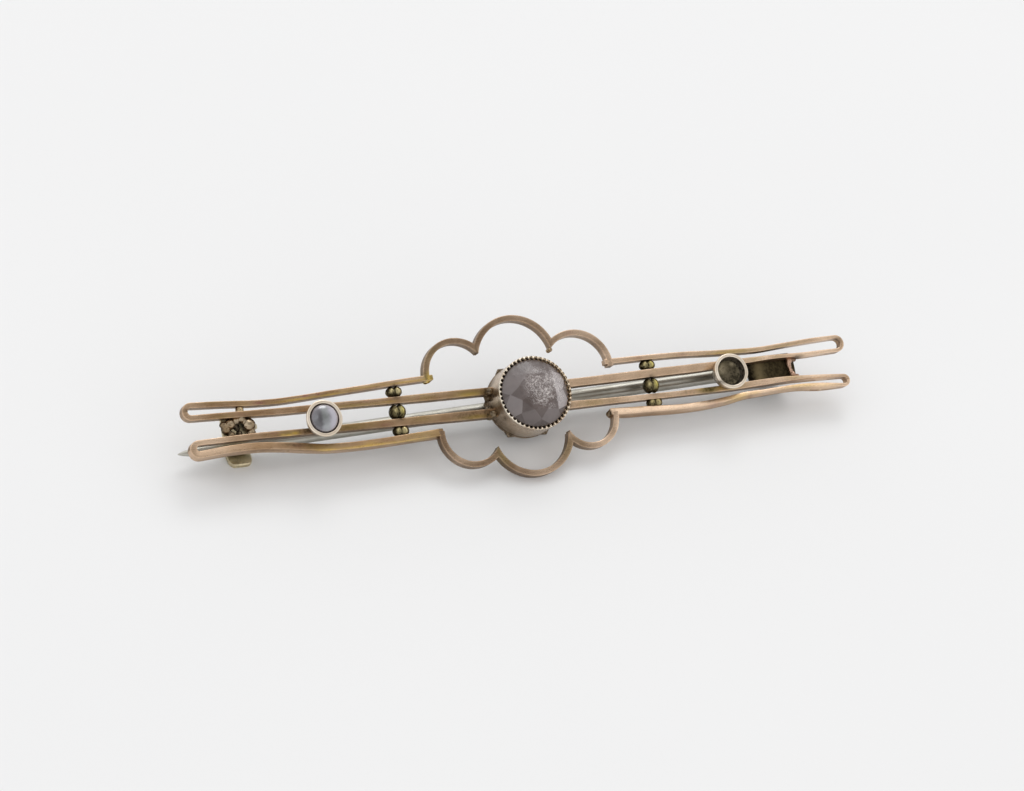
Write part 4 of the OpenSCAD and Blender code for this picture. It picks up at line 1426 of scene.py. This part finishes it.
def catch():
    """Hook of flat strip: a leg beside the pin, a bend under it, and a rounded tongue."""
    build = Build()
    path = hook_path()
    tangent = np.gradient(path, axis=0)
    tangent /= np.linalg.norm(tangent, axis=1)[:, None]
    tip = path[-1, 0]
    points = []
    for k, (p, d) in enumerate(zip(path, tangent)):
        from_tip = p[0] - tip
        near = max(0.0, TONGUE_CORNER - from_tip) if p[0] < 0 else 0.0
        narrow = 0.08 * max(0.0, 1 - from_tip / TONGUE_NARROWS) if p[0] < 0 else 0.0
        corner = TONGUE_CORNER - math.sqrt(max(0.0, TONGUE_CORNER ** 2 - near ** 2))
        half_w = CATCH_W / 2 + 0.08 - narrow - corner
        for x, t in strip_corners(half_w, 0.6 if k == len(path) - 1 else 1.0):
            points.append((CATCH_X + x, CATCH_AT.y + p[0] - d[1] * t,
                           CATCH_AT.z + p[1] + d[0] * t))
    capped(build, len(path), 12, points, [0.8] * len(points))
    x0, x1 = CATCH_X - CATCH_W / 2 - 0.9, CATCH_X + CATCH_W / 2 - 0.3
    plate = [(x0, -0.75), (x1, -0.75), (x1, 1.35), (x0, 1.35)]
    bevelled_solid(build, plate, PLATE_BACK, -STRIP_H, 0.05)
    return finished("catch_hook_dressed", build, CATCH_GOLD, ["catch_hook"])


# Hinge and pin

# Corners of the hinge plate
HINGE_PLATE = [(19.22, -0.84), (23.3, -0.84), (23.3, 0.98), (19.22, 0.98)]
# Middle and reach of the lighter band of painted reflection on the hinge plate
REFLECTION_BAND = (20.1, 0.45)


def hinge_shade_and_reflection(p):
    """Painted shade on the plate in its recess, darkest at its left, with a lighter band of
    painted reflection, and painted shade on the ears and behind the plate's face.
    """
    if p[2] <= -STRIP_H - 0.1:
        return 0.5
    band = math.exp(-((p[0] - REFLECTION_BAND[0]) / REFLECTION_BAND[1]) ** 2)
    return (1.3 if p[0] < 20 else 0.8) * (1 - band)


def hinge():
    """Plate behind the bars with two ears for the rivet."""
    build = Build()
    bevelled_solid(build, HINGE_PLATE, PLATE_BACK, -STRIP_H, 0.05, cuts=0.18)
    leg = PLATE_BACK + PLATE_T / 2
    arch = [(HINGE.x + EAR_R * math.cos(a), HINGE.z + EAR_R * math.sin(a))
            for a in np.linspace(math.pi, math.tau, 28)]
    outline = [(HINGE.x - EAR_R, leg)] + arch + [(HINGE.x + EAR_R, leg)]
    for side in (-1, 1):
        middle = HINGE.y + side * (EAR_IN + EAR_T / 2)
        bevelled_solid(build, outline, -middle - EAR_T / 2, -middle + EAR_T / 2, 0.06, "Y")
    return finished("hinge_bracket_dressed", build, SHADED_HINGE_GOLD,
                    ["hinge_bracket"], soil_and_shade=hinge_shade_and_reflection)


def rivet():
    """Rivet with two low hammered heads."""
    build = Build()
    half = EAR_OUT + 0.02
    head = [(0.02, 0.15), (0.3, 0.145), (0.46, 0.09), (0.52, 0.01)]
    profile = [(r, half + z) for r, z in head] + [(RIVET_R, half), (RIVET_R, -half)]
    profile += [(r, -half - z) for r, z in head[::-1]]
    lathe(build, profile, 40)
    build.move(Matrix.Translation(HINGE) @ Matrix.Rotation(math.pi / 2, 4, "X"))
    return finished("hinge_rivet_dressed", build, SHADED_HINGE_GOLD, ["hinge_rivet"])


# The pin's tip: columns are the share of its radius, and how far back from its point
PIN_TIP = [(0.97, POINT_LEN), (0.93, 3.6), (0.87, 2.9), (0.79, 2.2), (0.66, 1.5), (0.5, 0.9),
           (0.33, 0.45), (0.17, 0.16), (0.07, 0.02)]


def pin_eye():
    """Profile of the ring round the rivet, which comes back to its start."""
    w = EYE_W / 2
    start = (BORE_R, -w + 0.1)
    return rounded([start, (BORE_R + 0.08, -w), (EYE_R - 0.12, -w), (EYE_R, -w + 0.14),
                    (EYE_R, w - 0.14), (EYE_R - 0.12, w), (BORE_R + 0.08, w),
                    (BORE_R, w - 0.1), (BORE_R, 0), start], 0.06, 2)


def pin():
    """Steel pin: a rounded eye round the rivet, and a stem that narrows to its point."""
    build = Build()
    lathe(build, pin_eye(), 56)
    build.move(Matrix.Rotation(math.pi / 2, 4, "X"))
    stem = Build()
    profile = [(0.05, 0.45), (PIN_R - 0.1, 0.45), (PIN_R - 0.06, 1.5), (PIN_R, 3.0)]
    profile += [(PIN_R * (1 + 0.006 * wave(z, 0, 21, 4)), z) for z in np.linspace(3.5, 43, 60)]
    profile += [(PIN_R * share, PIN_LEN - back) for share, back in PIN_TIP]
    lathe(stem, profile, 40)
    stem.move(Matrix.Rotation(PIN_YAW, 4, "Z") @ Matrix.Rotation(-math.pi / 2 - PIN_DROP, 4, "Y"))
    build.add(stem.points, stem.faces)
    build.move(Matrix.Translation(HINGE))
    return finished("pin_stem_dressed", build, PIN_STEEL, ["pin_stem"], body="pin")


# Table, light and camera

# Half the side of the table, in metres, and its two tones
TABLE_HALF = 2.5
TABLE_TONES = (0.795, 0.797, 0.8), (0.815, 0.816, 0.818)
# The room's strength, and its dimmer patch: toward where, where it starts and ends, its tone
ROOM = 1.055
DARK_PATCH = (0.2, -0.33, 0.92)
DARK_PATCH_ENDS = (0.86, 0.99)
DARK_TONE = (0.42, 0.41, 0.4)
# The small soft box: place and side in metres, and its power in watts
BOX_PLACE = (0.25, 0.75, 0.8)
BOX_SIDE = 0.5
BOX_POWER = 2.5
# The camera in the brooch's own frame: its place, its right and its down, and its lens
CAMERA_PLACE = Vector((-114.77, -54.065, 267.035))
CAMERA_RIGHT = Vector((0.9173, -0.1863, 0.352))
CAMERA_DOWN = Vector((-0.1036, -0.9651, -0.2406))
LENS = 136.27


def table():
    """Plain pale table top."""
    mesh = bpy.data.meshes.new("table")
    corners = [(-1, -1), (1, -1), (1, 1), (-1, 1)]
    mesh.from_pydata([(TABLE_HALF * x, TABLE_HALF * y, 0) for x, y in corners], [], [[0, 1, 2, 3]])
    material, tree, shader = new_material("pale paper")
    soft = noise_at(tree, in_millimetres(tree), 0.02, 2)
    tree.links.new(mix_colour(tree, soft, *TABLE_TONES), shader.inputs["Base Color"])
    shader.inputs["Roughness"].default_value = 0.9
    shader.inputs["Specular IOR Level"].default_value = 0.1
    mesh.materials.append(material)
    top = bpy.data.objects.new("table", mesh)
    bpy.context.scene.collection.objects.link(top)


def soft_box():
    """Square soft box behind and to the right, that faces the brooch."""
    light = bpy.data.lights.new("soft_box_back", "AREA")
    light.shape, light.size, light.energy = "SQUARE", BOX_SIDE, BOX_POWER
    box = bpy.data.objects.new("soft_box_back", light)
    box.location = BOX_PLACE
    box.rotation_euler = (-Vector(BOX_PLACE)).to_track_quat("-Z", "Y").to_euler()
    bpy.context.scene.collection.objects.link(box)


def room():
    """Even pale room with one dimmer patch overhead."""
    world = bpy.data.worlds.new("studio")
    bpy.context.scene.world = world
    world.use_nodes = True
    tree = world.node_tree
    place = tree.nodes.new("ShaderNodeTexCoord")
    toward = tree.nodes.new("ShaderNodeVectorMath")
    toward.operation = "DOT_PRODUCT"
    toward.inputs[1].default_value = Vector(DARK_PATCH).normalized()
    tree.links.new(place.outputs["Generated"], toward.inputs[0])
    ramp = tree.nodes.new("ShaderNodeValToRGB")
    tones = (1.0, 1.0, 1.0), DARK_TONE
    for stop, position, tone in zip(ramp.color_ramp.elements, DARK_PATCH_ENDS, tones):
        stop.position, stop.color = position, (*tone, 1)
    tree.links.new(toward.outputs["Value"], ramp.inputs[0])
    sky = tree.nodes["Background"]
    tree.links.new(ramp.outputs[0], sky.inputs["Color"])
    sky.inputs["Strength"].default_value = ROOM


def camera():
    """Camera at the photograph's place, given in the brooch's own frame."""
    right = CAMERA_RIGHT.normalized()
    up = (-CAMERA_DOWN + CAMERA_DOWN.dot(right) * right).normalized()
    back = right.cross(up)
    turn = Matrix((right, up, back)).transposed()
    data = bpy.data.cameras.new("camera")
    data.sensor_width, data.lens = 36.0, LENS
    data.clip_start, data.clip_end = 0.01, 20.0
    eye = bpy.data.objects.new("camera", data)
    bpy.context.scene.collection.objects.link(eye)
    facing = LIE.to_3x3().normalized() @ turn
    eye.matrix_world = Matrix.Translation(LIE @ CAMERA_PLACE) @ facing.to_4x4()
    bpy.context.scene.camera = eye


def brooch():
    """All the pieces."""
    strips()
    scallops()
    spacer_balls()
    joint_solder()
    solder_bridge()
    catch_solder()
    centre_collet()
    centre_stone()
    small_cup("pearl_cup_dressed", (-CUP_X, 0, 0), PEARL_FOOT_R, "pearl_collet", PEARL_DARK_TO)
    small_cup("empty_cup_dressed", (CUP_X, EMPTY_CUP_Y, 0), EMPTY_FOOT_R, "empty_collet",
              EMPTY_DARK_TO)
    cup_residue()
    half_pearl()
    catch()
    hinge()
    rivet()
    pin()


brooch()
table()
room()
soft_box()
camera()
bpy.context.scene.view_settings.view_transform = "Standard"
